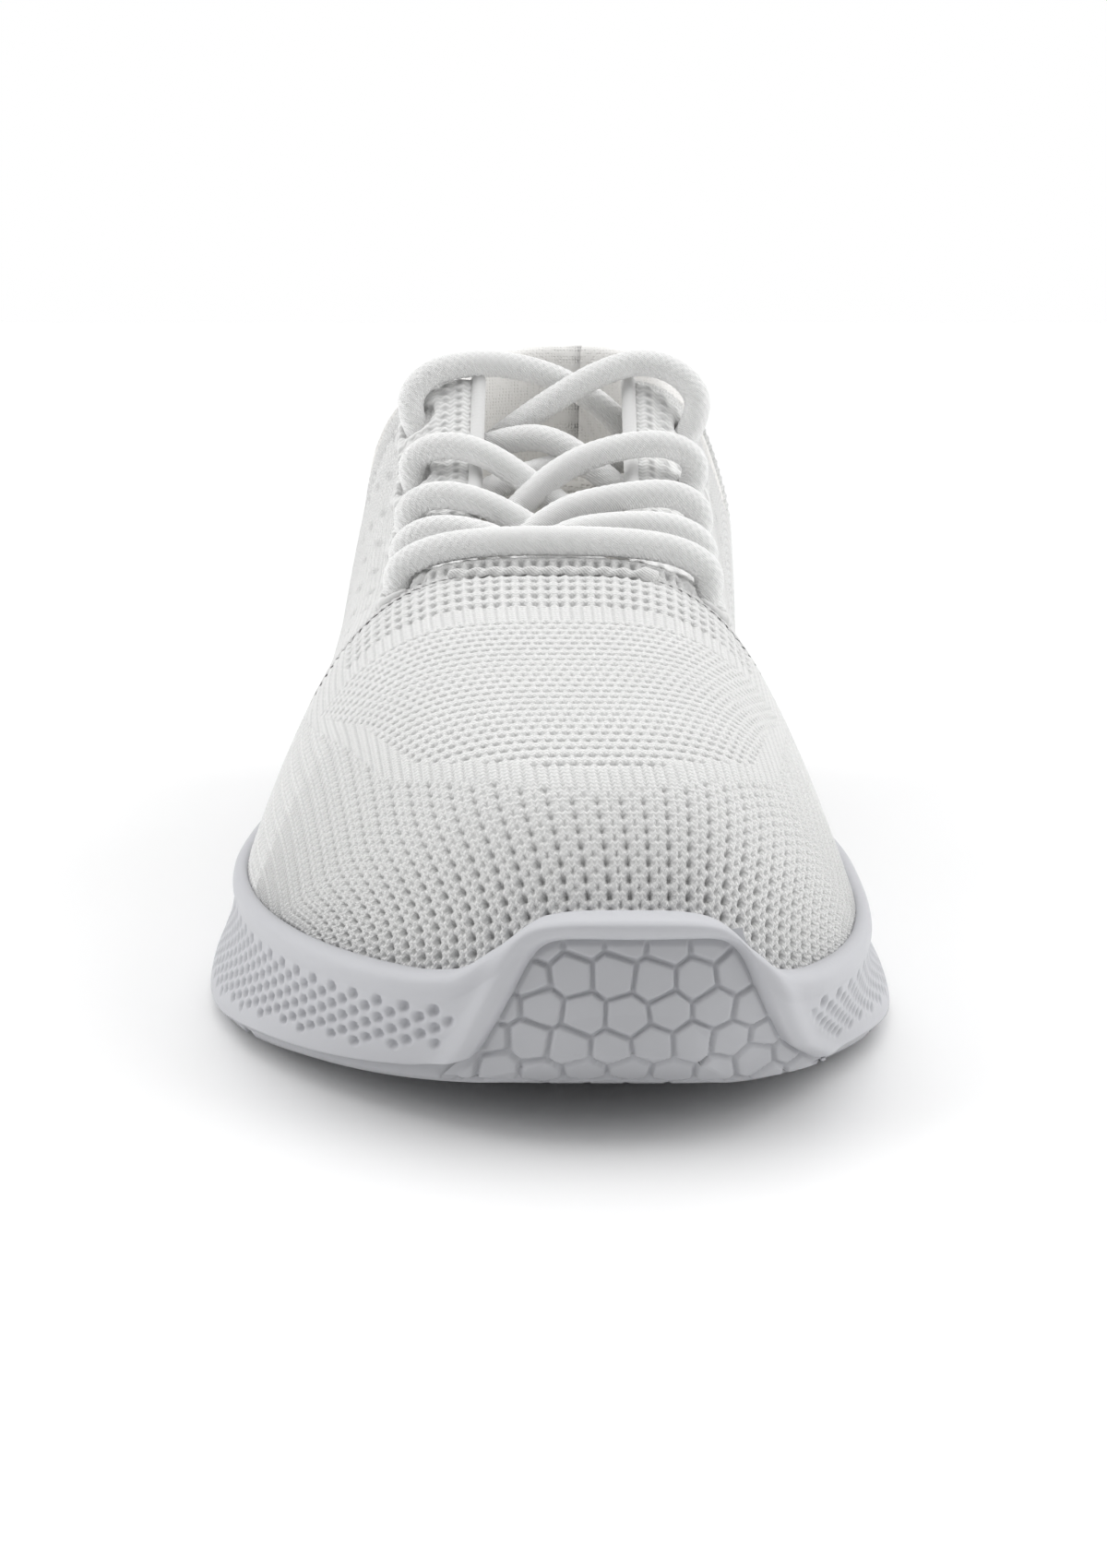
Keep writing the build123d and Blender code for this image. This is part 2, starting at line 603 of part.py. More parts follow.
# ---- shoelace: one round braided lace through all ten eyelets -------------------
# The route runs from the medial tucked end to the lateral one, as (x, station, height).
LACE_ROUTE = (
    # tucked end on the lateral side of the opening, up to the top medial eyelet
    (-22.5, 175.5, 49.5), (-22, 176.5, 61), (-19, 176, 71), (-14, 172.5, 79.5), (-6, 167, 86),
    (2, 165.5, 91.5), (10, 167.5, 96), (18.5, 169.5, 98.3), (26, 168, 95.5), (29.5, 166, 89.5),
    (22.8, 164.3, 78.5), (14, 161.5, 80.5), (1.3, 158, 79.2), (-11.5, 153.5, 75.2),
    # eyelet row four lateral, across to row three medial
    (-19.8, 150.7, 69.3), (-26, 149.5, 79.5), (-20.8, 148, 84.2), (-11, 145.5, 83), (1.3, 142, 74.2),
    (13.8, 138.2, 66.2),
    (22.4, 135.2, 61.8), (28.6, 134, 72), (23.4, 132.6, 76.7), (13.6, 130.3, 76.3), (1.3, 126.3, 74),
    (-11.2, 122.6, 61.5),
    # row two lateral, across to row one medial
    (-19.8, 119.6, 57.2), (-26, 118.5, 67.3), (-20.8, 117.2, 72), (-11, 115, 71.5), (1.3, 110.9, 66),
    (13.8, 107.2, 59),
    (22.4, 104.2, 54.6), (28.6, 103, 65), (23.4, 102.2, 69.6), (12.5, 101.7, 71.4), (-9.5, 101.8, 71.5),
    # the straight bar over row one, down into the lateral eyelet
    (-20.8, 102.2, 69.6), (-26, 103, 65), (-19.8, 104.2, 54.6),
    (-11.2, 107.3, 59.2), (1.3, 111.1, 71.5), (13.4, 115.2, 72.8),
    # row two medial, across to row three lateral
    (23.4, 117.2, 72), (28.6, 118.5, 67.3), (22.4, 119.6, 57.2), (13.8, 122.5, 61.2), (1.3, 126.1, 68.6),
    (-10.8, 130.2, 75.4),
    (-20.8, 132.6, 76.7), (-26, 134, 72), (-19.8, 135.2, 61.8), (-11.2, 138.3, 66.4), (1.3, 142.2, 79.8),
    # row four medial, across to row five lateral
    (13.4, 145.7, 84), (23.4, 148, 84.2), (28.6, 149.5, 79.5), (22.4, 150.7, 69.3), (13.8, 153.6, 74.8),
    (1.3, 157.8, 85.2), (-10.5, 161.8, 83.2),
    # out of the top lateral eyelet, over the opening and tucked in on the medial side
    (-20, 164.5, 78.4), (-26.8, 166, 89.3), (-23, 168.3, 95.8), (-14, 171, 97.8), (-4, 172.5, 96.8),
    (5, 173.4, 93.4), (13.5, 174.2, 87), (20.5, 175.2, 77.5), (24.3, 175.8, 64.5), (24.8, 175, 51),
)


def corner_radii(route):
    """Arc at each corner of a route: 0.45 of the shorter run over the tangent of half the turn."""
    radii = []
    for before, corner, after in zip(route, route[1:], route[2:]):
        arriving, leaving = corner - before, after - corner
        half_turn = math.radians(arriving.get_angle(leaving)) / 2
        radii.append(0.45 * min(arriving.length, leaving.length) / math.tan(half_turn))
    return radii


lace_points = [Vector(x, s - LENGTH / 2, z) for x, s, z in LACE_ROUTE]
lace_radii = corner_radii(lace_points)
print("lace corner radii", [round(r, 1) for r in lace_radii])
with BuildPart() as shoelace:
    with BuildLine() as lace_path:
        FilletPolyline(*lace_points, radius=lace_radii)
    with BuildSketch(Plane(lace_points[0], z_dir=lace_points[1] - lace_points[0])):
        Circle(LACE_DIAMETER / 2)
    sweep(path=lace_path.wires()[0])
lace_length = lace_path.wires()[0].length
lace_section = math.pi * LACE_DIAMETER ** 2 / 4
print("lace length", lace_length, "volume ratio", shoelace.part.volume / (lace_length * lace_section))
shoelace.part.label = "shoelace"
export_step(shoelace.part, "parts/shoelace.step")

AGLET_RADIUS = 1.7
for aglet_name, end, inner in (("aglet_lateral", lace_points[0], lace_points[1]),
                               ("aglet_medial", lace_points[-1], lace_points[-2])):
    outward = (end - inner).normalized()
    with BuildPart() as aglet:
        with BuildSketch(Plane(end, z_dir=outward)):
            Circle(AGLET_RADIUS)
        extrude(amount=AGLET_LENGTH)
        fillet(aglet.faces().sort_by(Axis.Z)[0].edges(), 0.6)
    aglet.part.label = aglet_name
    export_step(aglet.part, f"parts/{aglet_name}.step")
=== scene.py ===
import bpy
import json
import math
import numpy as np
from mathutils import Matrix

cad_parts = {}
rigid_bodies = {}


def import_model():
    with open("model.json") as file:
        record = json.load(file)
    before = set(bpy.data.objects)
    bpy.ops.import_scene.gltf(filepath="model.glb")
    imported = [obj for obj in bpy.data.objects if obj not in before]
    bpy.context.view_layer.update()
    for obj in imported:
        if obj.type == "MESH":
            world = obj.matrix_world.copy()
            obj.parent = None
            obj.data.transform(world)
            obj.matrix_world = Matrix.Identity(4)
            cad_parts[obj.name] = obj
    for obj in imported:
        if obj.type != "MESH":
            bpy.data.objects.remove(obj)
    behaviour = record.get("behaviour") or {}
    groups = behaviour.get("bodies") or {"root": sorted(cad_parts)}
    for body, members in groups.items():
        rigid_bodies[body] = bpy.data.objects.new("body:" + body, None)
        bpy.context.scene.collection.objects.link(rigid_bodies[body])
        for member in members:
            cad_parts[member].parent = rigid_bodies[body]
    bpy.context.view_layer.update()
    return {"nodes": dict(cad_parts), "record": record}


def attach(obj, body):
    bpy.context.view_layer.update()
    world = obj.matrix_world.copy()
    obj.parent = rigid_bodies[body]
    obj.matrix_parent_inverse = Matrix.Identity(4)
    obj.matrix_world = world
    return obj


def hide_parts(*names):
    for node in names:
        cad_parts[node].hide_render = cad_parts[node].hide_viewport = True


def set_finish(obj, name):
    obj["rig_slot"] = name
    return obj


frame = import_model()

MM = 0.001

# ---- the foot form, in millimetres, as the frame has it ---------------------
# Stations are counted from the tip of the toe: y = station - LENGTH / 2.
LENGTH = 297.0
FOOT_BED = 13.6
THROAT_CENTRE = 1.3
THROAT_HALF_WIDTH = 15.0
THROAT_START = 97.0
THROAT_CORNER = 6.0
EYELET_STATIONS = (103, 118.5, 134, 149.5, 165)
EYELET_REACH = 25.0
LIP_LATERAL = dict(ball=(88, -48.8), waist=(165, -43.0), heel=(245, -37.5), toe=(2.0, 0.48))
LIP_MEDIAL = dict(ball=(78, 48.0), waist=(165, 38.5), heel=(245, 41.5), toe=(3.0, 0.40))
TREAD_LATERAL = dict(ball=(91, -54.9), waist=(160, -46.5), heel=(250, -41.5), toe=(2.0, 0.55))
TREAD_MEDIAL = dict(ball=(78, 54.9), waist=(165, 41.5), heel=(250, 44.5), toe=(2.0, 0.70))
LIPS = {1: LIP_MEDIAL, -1: LIP_LATERAL}
TREADS = {1: TREAD_MEDIAL, -1: TREAD_LATERAL}
TOE_X, HEEL_X = 11.5, 3.0
FORM_TIP, FORM_BACK = 6.0, 290.0
LIP_TIP, LIP_BACK = 1.93, 293.5
TREAD_TIP, TREAD_BACK = 8.0, 296.6
HEEL_ROUNDNESS = 2.2
TIP_FADE, BACK_FADE = 12.0, 15.0  # stations over which a wall's swelling fades at its ends
HEEL_PINCH, HEEL_LEAN, HEEL_SHIFT = 0.18, 6.0, 2.0
LEAN_START, LEAN_STATIONS, LEAN_BASE, LEAN_RISE = 200.0, 70.0, 44.0, 54.0
TOP_STATIONS = (6, 7.2, 9.2, 13.5, 20.5, 30, 45, 62, 80, 95, 110, 130, 150, 172, 184, 196, 215, 240)
TOP_HEIGHTS = (24, 31, 36, 42.5, 48, 51.5, 55, 58.5, 62.5, 66.5, 67.8, 71.4, 80.2, 95, 104, 122,
               170, 240)
FORM_BASE = 20.0
ROUNDNESS_STATIONS = (95, 118, 150, 165)
ROUNDNESS = (3.5, 3.8, 5.0, 5.3)
WALL_HEIGHTS = (-2, 2.5, 6, 10, 14, 18, 21.5, 24.5, 30, 36)
WALL_MIX = (0.0, 0.05, 0.2, 0.5, 0.78, 0.95, 1.0, 1.0, 1.0, 1.0)
WALL_REACH = (-2.5, 0.4, 0.5, 0.7, 0.9, 1.1, 1.1, 1.0, 0.9, 0.7)
TOE_SPRING = ((-6, 22), (3, 13), (12, 7.2), (38, 3.4), (62, 0.9), (84, 0))
HEEL_BEVEL = ((262, 0), (282, 1.6), (303, 8))
LIP_LINE = ((-4, 33.6), (1, 33.1), (2.4, 32.2), (4.5, 27.8), (7.6, 23.6), (12, 22.7), (40, 22.4),
            (90, 22.5), (160, 24.4), (230, 28), (275, 32), (300, 36))
COLLAR_LINE = ((160, 104), (173, 93.5), (186, 79), (204, 66.5), (222, 62.5),
               (244, 69), (264, 84), (280, 94), (292, 96.5), (306, 97))
MIDDLE_STATIONS, MIDDLE_X = (0, 30, 90, 160, LENGTH), (TOE_X, 7, 1.3, 1.0, HEEL_X)


def along(stations, values, station):
    """Smooth monotone curve through the given stations, for a whole array of stations."""
    xs, ys = np.array(stations, float), np.array(values, float)
    steps = np.diff(xs)
    slopes = np.diff(ys) / steps
    before, after, h0, h1 = slopes[:-1], slopes[1:], steps[:-1], steps[1:]
    turning = before * after <= 0
    safe_before, safe_after = np.where(turning, 1, before), np.where(turning, 1, after)
    inner = 3 * (h0 + h1) / ((2 * h1 + h0) / safe_before + (h1 + 2 * h0) / safe_after)
    bends = np.concatenate(([slopes[0]], np.where(turning, 0, inner), [slopes[-1]]))
    at = np.clip(np.asarray(station, float), xs[0], xs[-1])
    i = np.clip(np.searchsorted(xs, at, side="right") - 1, 0, len(steps) - 1)
    t = (at - xs[i]) / steps[i]
    low = (1 + 2 * t) * (1 - t) ** 2 * ys[i] + t * (1 - t) ** 2 * steps[i] * bends[i]
    high = t * t * (3 - 2 * t) * ys[i + 1] + t * t * (t - 1) * steps[i] * bends[i + 1]
    return low + high


def ramp(t):
    """0 to 1 with level ends."""
    t = np.clip(t, 0, 1)
    return t * t * (3 - 2 * t)


def ease(a, b, t):
    """From a to b with level ends, as the frame's outlines have it."""
    return a + (b - a) * (1 - np.cos(np.pi * np.clip(t, 0, 1))) / 2


def side_x(side, station, tip, back):
    """x of a plan outline's side at a station between its tip and its back."""
    (ball, ball_x), (waist, waist_x), (heel, heel_x) = side["ball"], side["waist"], side["heel"]
    power, root = side["toe"]
    t = np.clip((station - tip) / (ball - tip), 0, 1)
    toe = TOE_X + (ball_x - TOE_X) * (1 - (1 - t) ** power) ** root
    fore = ease(ball_x, waist_x, (station - ball) / (waist - ball))
    rear = ease(waist_x, heel_x, (station - waist) / (heel - waist))
    t = np.clip((station - heel) / (back - heel), 0, 1)
    end = HEEL_X + (heel_x - HEEL_X) * (1 - t ** HEEL_ROUNDNESS) ** 0.5
    return np.select([station < ball, station < waist, station < heel], [toe, fore, rear], end)


def form_top(station, grow=0.0):
    """Height of the foot form's top line, grown outward by a thickness."""
    step = 0.5
    here = along(TOP_STATIONS, TOP_HEIGHTS, station + grow)
    slope = (along(TOP_STATIONS, TOP_HEIGHTS, station + grow + step) - here) / step
    return here + grow * (np.hypot(1, slope) - slope)


def form_x(sign, station, height, grow=0.0):
    """x of the foot form's wall at a station and a height, on the side of that sign."""
    side = LIPS[sign]
    tip, back = FORM_TIP - grow, FORM_BACK + grow
    heel = side["heel"][0]
    middle = along(MIDDLE_STATIONS, MIDDLE_X, station)
    climb = np.clip((height - FORM_BASE) / (form_top(station, grow) - FORM_BASE), 0, 1)
    behind = 3 * np.clip(back - station, 0, None) / (back - heel)
    fade = np.minimum(1, np.where(station > heel, behind, (station - tip) / TIP_FADE))
    wall = side_x(side, station, tip, back) + sign * grow * fade
    roundness = along(ROUNDNESS_STATIONS, ROUNDNESS, station)
    return middle + (wall - middle) * (1 - climb) ** (1 / roundness)


def crossing(low, high, before):
    """Where before(value) turns false between low and high, found by halving."""
    for _ in range(45):
        middle = (low + high) / 2
        short = before(middle)
        low, high = np.where(short, middle, low), np.where(short, high, middle)
    return high


def surface_height(x, station):
    """Height of the foot form over points of the plan."""
    x, station = np.broadcast_arrays(np.asarray(x, float), np.asarray(station, float))

    def inside(height):
        wall = np.where(x > THROAT_CENTRE, form_x(1, station, height), form_x(-1, station, height))
        return np.abs(wall - THROAT_CENTRE) > np.abs(x - THROAT_CENTRE)

    return crossing(np.full(x.shape, FORM_BASE), form_top(station), inside)


def wall_levels(height, shrink):
    """How far the sole's wall is from the tread's outline to the lip's, and its swelling."""
    return along(WALL_HEIGHTS, WALL_MIX, height), along(WALL_HEIGHTS, WALL_REACH, height) - shrink


def wall_ends(height, shrink=0.0):
    """Stations of the sole wall's tip and back at a height."""
    mix, reach = wall_levels(height, shrink)
    return (TREAD_TIP + (LIP_TIP - TREAD_TIP) * mix - reach,
            TREAD_BACK + (LIP_BACK - TREAD_BACK) * mix + reach)


def wall_x(sign, station, height, shrink=0.0):
    """x of the sole's side wall at a station and a height."""
    mix, reach = wall_levels(height, shrink)
    tip, back = wall_ends(height, shrink)
    low, high = side_x(TREADS[sign], station, tip, back), side_x(LIPS[sign], station, tip, back)
    fade = np.minimum(1, np.minimum((station - tip) / TIP_FADE, (back - station) / BACK_FADE))
    return low + (high - low) * mix + sign * reach * fade


def ground_line(station):
    """Height of the sole's rockered underside at a station."""
    toe_stations, toe_heights = zip(*TOE_SPRING)
    heel_stations, heel_heights = zip(*HEEL_BEVEL)
    return along(toe_stations + heel_stations, toe_heights + heel_heights, station)


def profile(line, station):
    """Height of a side profile at a station."""
    stations, heights = zip(*line)
    return along(stations, heights, station)


def points_at(x, station, height):
    """Grid of points from their x, station and height, each of any shape that fits the others."""
    return np.stack(np.broadcast_arrays(x, station, height), axis=-1)


def leaned(points):
    """Points of the upper moved as its heel narrows and leans forward with height."""
    x, station, height = points[..., 0], points[..., 1], points[..., 2]
    lean = (ease(0, 1, (station - LEAN_START) / LEAN_STATIONS)
            * ease(0, 1, (height - LEAN_BASE) / LEAN_RISE))
    narrowed = HEEL_X + (x - HEEL_X) * (1 - HEEL_PINCH * lean)
    return points_at(narrowed + HEEL_SHIFT * lean, station - HEEL_LEAN * lean, height)


# ---- sections of the upper: planes fanned round the toe, then upright planes ----
FAN_STATION, FAN_HEIGHT = 60.0, 6.0
FAN_REACH = 260.0  # no section is longer than this
FAN_LIMIT = 73.5  # degrees from upright, under the lip at the tip


def section(sign, plane, samples=400):
    """Points from the top middle down one side, one row for each plane.

    A plane below zero is turned that many degrees about the fan's axis; above zero it is
    upright, that many millimetres behind it.
    """
    plane = np.asarray(plane, float)
    turn = np.radians(np.clip(-plane, 0, None))
    forward, upward = np.sin(turn), np.cos(turn)
    start = FAN_STATION + np.clip(plane, 0, None)

    def under_top(reach):
        return FAN_HEIGHT + reach * upward < form_top(start - reach * forward)

    longest = np.minimum((start - FORM_TIP) / np.maximum(forward, 1e-6), FAN_REACH)
    top = crossing(np.zeros_like(plane), longest, under_top)
    reach = top[:, None] * (1 - np.linspace(0, 1, samples) ** 3)
    station = start[:, None] - reach * forward[:, None]
    height = FAN_HEIGHT + reach * upward[:, None]
    return points_at(form_x(sign, station, height), station, height)


def arc_lengths(points):
    """Running length along the last but one axis."""
    steps = np.linalg.norm(np.diff(points, axis=-2), axis=-1)
    return np.concatenate((np.zeros_like(steps[..., :1]), np.cumsum(steps, axis=-1)), axis=-1)


def resampled(points, lengths, wanted):
    """Each row of points read again at wanted lengths."""
    rows = [[np.interp(at, length, line[:, axis]) for axis in range(3)]
            for line, length, at in zip(points, lengths, wanted)]
    return np.transpose(np.array(rows), (0, 2, 1))


def even_planes(first, last, spacing):
    """Planes whose top points lie evenly along the shoe, and how far along each is."""
    dense = np.concatenate((np.linspace(first, 0, 400), np.linspace(0, last, 200)[1:]))
    tops = section(1, dense, samples=2)[:, 0]
    run = arc_lengths(tops)
    wanted = np.linspace(0, run[-1], int(run[-1] / spacing) + 1)
    return np.interp(wanted, run, dense), wanted


# ---- meshes from grids --------------------------------------------------------
def to_frame(points):
    """(x, station, height) in millimetres to the frame's metres."""
    return (np.asarray(points, float) - (0, LENGTH / 2, 0)) * MM


def grid_piece(name, points, slot, body="root", close_rows=False, close_cols=False, painted_shade=None,
               uv=None, caps=False):
    """A piece from a grid of points, with a mark for the painted shade in its hollows and a pattern map.
    """
    rows, cols = points.shape[:2]
    row_starts = np.arange(rows if close_rows else rows - 1)
    col_starts = np.arange(cols if close_cols else cols - 1)
    row, col = np.meshgrid(row_starts, col_starts, indexing="ij")
    next_row, next_col = (row + 1) % rows, (col + 1) % cols
    corners = ((row, col), (row, next_col), (next_row, next_col), (next_row, col))
    faces = np.stack([r * cols + c for r, c in corners], axis=-1).reshape(-1, 4).tolist()
    if caps:
        faces += [list(range(cols))[::-1], list(range((rows - 1) * cols, rows * cols))]
    mesh = bpy.data.meshes.new(name)
    mesh.from_pydata(to_frame(points.reshape(-1, 3)).tolist(), [], faces)
    mesh.polygons.foreach_set("use_smooth", [True] * len(mesh.polygons))
    if uv is not None:
        corner = np.empty(len(mesh.loops), dtype=np.int32)
        mesh.loops.foreach_get("vertex_index", corner)
        layer = mesh.uv_layers.new(name="pattern")
        layer.data.foreach_set("uv", uv.reshape(-1, 2)[corner].ravel())
    # the pit mark says how much painted shade darkens each point's colour
    if painted_shade is not None:
        layer = mesh.attributes.new("pit", "FLOAT", "POINT")
        layer.data.foreach_set("value", np.asarray(painted_shade, float).ravel())
    piece = bpy.data.objects.new(name, mesh)
    bpy.context.scene.collection.objects.link(piece)
    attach(piece, body)
    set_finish(piece, slot)
    return piece


def normals(points, outward, close_cols=False):
    """Unit normals of a grid, turned to the side of outward (+1 or -1)."""
    if close_cols:
        over_cols = np.roll(points, -1, 1) - np.roll(points, 1, 1)
    else:
        over_cols = np.gradient(points, axis=1)
    cross = np.cross(np.gradient(points, axis=0), over_cols)
    return outward * cross / np.maximum(np.linalg.norm(cross, axis=-1, keepdims=True), 1e-9)


def raised(points, outward, relief, close_cols=False):
    """Points of a grid moved out along its normals by a relief."""
    return points + normals(points, outward, close_cols) * relief[..., None]


def tube_grid(path, radius, around, relief=None):
    """Rings round a path, with no twist along it; relief adds height from (angle, run)."""
    path = np.asarray(path, float)
    run = arc_lengths(path)
    tangents = np.gradient(path, run, axis=0)
    tangents /= np.linalg.norm(tangents, axis=1, keepdims=True)
    side = np.cross(tangents[0], (0.0, 0.0, 1.0))
    if np.linalg.norm(side) < 0.1:
        side = np.cross(tangents[0], (0.0, 1.0, 0.0))
    sides = []
    for tangent in tangents:
        side = side - tangent * side.dot(tangent)
        side /= np.linalg.norm(side)
        sides.append(side.copy())
    sides = np.array(sides)
    ups = np.cross(sides, tangents)
    angle = np.linspace(0, 2 * np.pi, around, endpoint=False)[None, :]
    size = np.broadcast_to(np.asarray(radius, float).reshape(-1, 1), (len(path), around)).copy()
    if relief is not None:
        size += relief(angle, run[:, None])
    return (path[:, None] + (size * np.cos(angle))[..., None] * sides[:, None]
            + (size * np.sin(angle))[..., None] * ups[:, None])


def wrap(t):
    """Distance from the middle of a repeating cell, -0.5 to 0.5."""
    return t - np.floor(t) - 0.5


def over_edge(distance, width):
    """0 to 1 across a soft edge, from how far inside it a point is."""
    return ramp(distance / width + 0.5)


def pit(across, down, width, height, crisp=1.6):
    """1 in the middle of a small oval hole, 0 outside it."""
    return np.exp(-((across / width) ** 2 + (down / height) ** 2) ** crisp)


# ---- camera -------------------------------------------------------------------
AIM = (1.3, 85.0, 33.8)  # x, station and height that the camera looks at
CAMERA_DISTANCE = 420.0
CAMERA_ELEVATION = math.radians(11.6)
SENSOR_WIDTH, LENS = 36.0, 59.53
camera_data = bpy.data.cameras.new("camera")
camera_data.sensor_width = SENSOR_WIDTH
camera_data.lens = LENS
camera = bpy.data.objects.new("camera", camera_data)
camera.location = to_frame(AIM) + CAMERA_DISTANCE * MM * np.array(
    (0, -math.cos(CAMERA_ELEVATION), math.sin(CAMERA_ELEVATION)))
camera.rotation_euler = (math.pi / 2 - CAMERA_ELEVATION, 0, 0)
bpy.context.scene.collection.objects.link(camera)
bpy.context.scene.camera = camera

# ---- shoelace: one round braided lace through all ten eyelets -------------------
LACE_DIAMETER = 5.0
LACE_ROUTE = (
    # tucked end on the lateral side of the opening, up to the top medial eyelet
    (-22.5, 175.5, 49.5), (-22, 176.5, 61), (-19, 176, 71), (-14, 172.5, 79.5), (-6, 167, 86),
    (2, 165.5, 91.5), (10, 167.5, 96), (18.5, 169.5, 98.3), (26, 168, 95.5), (29.5, 166, 89.5),
    (22.8, 164.3, 78.5), (14, 161.5, 80.5), (1.3, 158, 79.2), (-11.5, 153.5, 75.2),
    # eyelet row four lateral, across to row three medial
    (-19.8, 150.7, 69.3), (-26, 149.5, 79.5), (-20.8, 148, 84.2), (-11, 145.5, 83), (1.3, 142, 74.2),
    (13.8, 138.2, 66.2),
    (22.4, 135.2, 61.8), (28.6, 134, 72), (23.4, 132.6, 76.7), (13.6, 130.3, 76.3), (1.3, 126.3, 74),
    (-11.2, 122.6, 61.5),
    # row two lateral, across to row one medial
    (-19.8, 119.6, 57.2), (-26, 118.5, 67.3), (-20.8, 117.2, 72), (-11, 115, 71.5), (1.3, 110.9, 66),
    (13.8, 107.2, 59),
    (22.4, 104.2, 54.6), (28.6, 103, 65), (23.4, 102.2, 69.6), (12.5, 101.7, 71.4), (-9.5, 101.8, 71.5),
    # the straight bar over row one, down into the lateral eyelet
    (-20.8, 102.2, 69.6), (-26, 103, 65), (-19.8, 104.2, 54.6),
    (-11.2, 107.3, 59.2), (1.3, 111.1, 71.5), (13.4, 115.2, 72.8),
    # row two medial, across to row three lateral
    (23.4, 117.2, 72), (28.6, 118.5, 67.3), (22.4, 119.6, 57.2), (13.8, 122.5, 61.2), (1.3, 126.1, 68.6),
    (-10.8, 130.2, 75.4),
    (-20.8, 132.6, 76.7), (-26, 134, 72), (-19.8, 135.2, 61.8), (-11.2, 138.3, 66.4), (1.3, 142.2, 79.8),
    # row four medial, across to row five lateral
    (13.4, 145.7, 84), (23.4, 148, 84.2), (28.6, 149.5, 79.5), (22.4, 150.7, 69.3), (13.8, 153.6, 74.8),
    (1.3, 157.8, 85.2), (-10.5, 161.8, 83.2),
    # out of the top lateral eyelet, over the opening and tucked in on the medial side
    (-20, 164.5, 78.4), (-26.8, 166, 89.3), (-23, 168.3, 95.8), (-14, 171, 97.8), (-4, 172.5, 96.8),
    (5, 173.4, 93.4), (13.5, 174.2, 87), (20.5, 175.2, 77.5), (24.3, 175.8, 64.5), (24.8, 175, 51),
)
BRAID_STRANDS = 9  # in each direction round the lace
BRAID_PITCH = 1.55
BRAID_RELIEF = 0.15


def nurbs_path(name, points, steps):
    """Points along a smooth NURBS spline led by the given points, in the same millimetres."""
    data = bpy.data.curves.new(name, "CURVE")
    data.dimensions = "3D"
    data.resolution_u = steps
    spline = data.splines.new("NURBS")
    spline.points.add(len(points) - 1)
    for control, place in zip(spline.points, to_frame(points)):
        control.co = (*place, 1)
    spline.order_u = 3
    spline.use_endpoint_u = True
    guide = bpy.data.objects.new(name, data)
    mesh = bpy.data.meshes.new_from_object(guide)
    path = np.array([vertex.co for vertex in mesh.vertices])
    bpy.data.objects.remove(guide)
    bpy.data.meshes.remove(mesh)
    return path / MM + (0, LENGTH / 2, 0)


def braid(angle, run):
    """Two families of strands wound opposite ways round a cord."""
    turn = 2 * np.pi * run / BRAID_PITCH
    one, two = np.cos(BRAID_STRANDS * angle + turn), np.cos(BRAID_STRANDS * angle - turn)
    return BRAID_RELIEF * (np.maximum(one, two) - 1)


lace_path = nurbs_path("lace_route", LACE_ROUTE, 32)
lace = grid_piece("braided_lace", tube_grid(lace_path, LACE_DIAMETER / 2, 40, braid),
                  slot="lace_braid", close_cols=True, caps=True)
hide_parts("shoelace")


# ---- knitted upper: vamp and two quarters ---------------------------------------
# The knit's pattern is laid out in wales (across) and courses (along), one of each
# to a cell of the coarse mesh. Runs are lengths along the top line from the toe's lip.
COURSE = 2.35
WALES = 21.0  # on each side of the middle
KNIT_STEP = 0.38
DASH_COURSE, DASH_WALES = 2.25, 1.8  # the dashed zone's rows, and dashes to a wale
DASH_START, DASH_END, DOT_START = 33.5, 90.0, 96.0
DASH_START_BEND = 55.0  # how fast the dashed zone's front edge falls back to the sides
DASH_SIDE, DASH_SIDE_RUN, DASH_WIDENING = 0.37, 40.0, 0.0046
DOT_SIDE = 0.5
RIB_BAND = 5.0  # plain ribs between the coarse mesh and the dashes
MESH_SIDE = 70.0  # the coarse mesh goes this much further back at the sides
TIP_OPENING = (28.0, 18.0)  # the holes open towards the tip, from this run and over this length
# Half width in wales, half height in courses, and how crisp the edge is, of each kind of hole.
HOLE, SMALL_HOLE, DOT = (0.16, 0.31), (0.11, 0.2), (0.3, 0.26)
DASH, BRIDGE = (0.36, 0.17, 1.8), (0.2, 0.2, 1.0)
DOT_WALES, DOT_COURSES = 1.7, 0.74  # dots to a wale and to a course


def knit_zones(run, across):
    """Share of each stitch pattern over the vamp."""
    off = np.abs(across)
    start = DASH_START + DASH_START_BEND * off ** 1.8
    side = DASH_SIDE + (run - DASH_SIDE_RUN) * DASH_WIDENING
    dash = over_edge(run - start, 0.9) * over_edge(DASH_END - run, 0.9) * over_edge(side - off, 0.012)
    mesh_end = start - RIB_BAND + MESH_SIDE * ramp((off - 0.42) / 0.4)
    mesh = over_edge(mesh_end - run, 1.2) * (1 - dash)
    dots = over_edge(run - DOT_START, 0.8) * over_edge(DOT_SIDE - off, 0.02)
    return dict(mesh=mesh, dash=dash, dots=dots, rib=np.clip(1 - mesh - dash - dots, 0, 1))


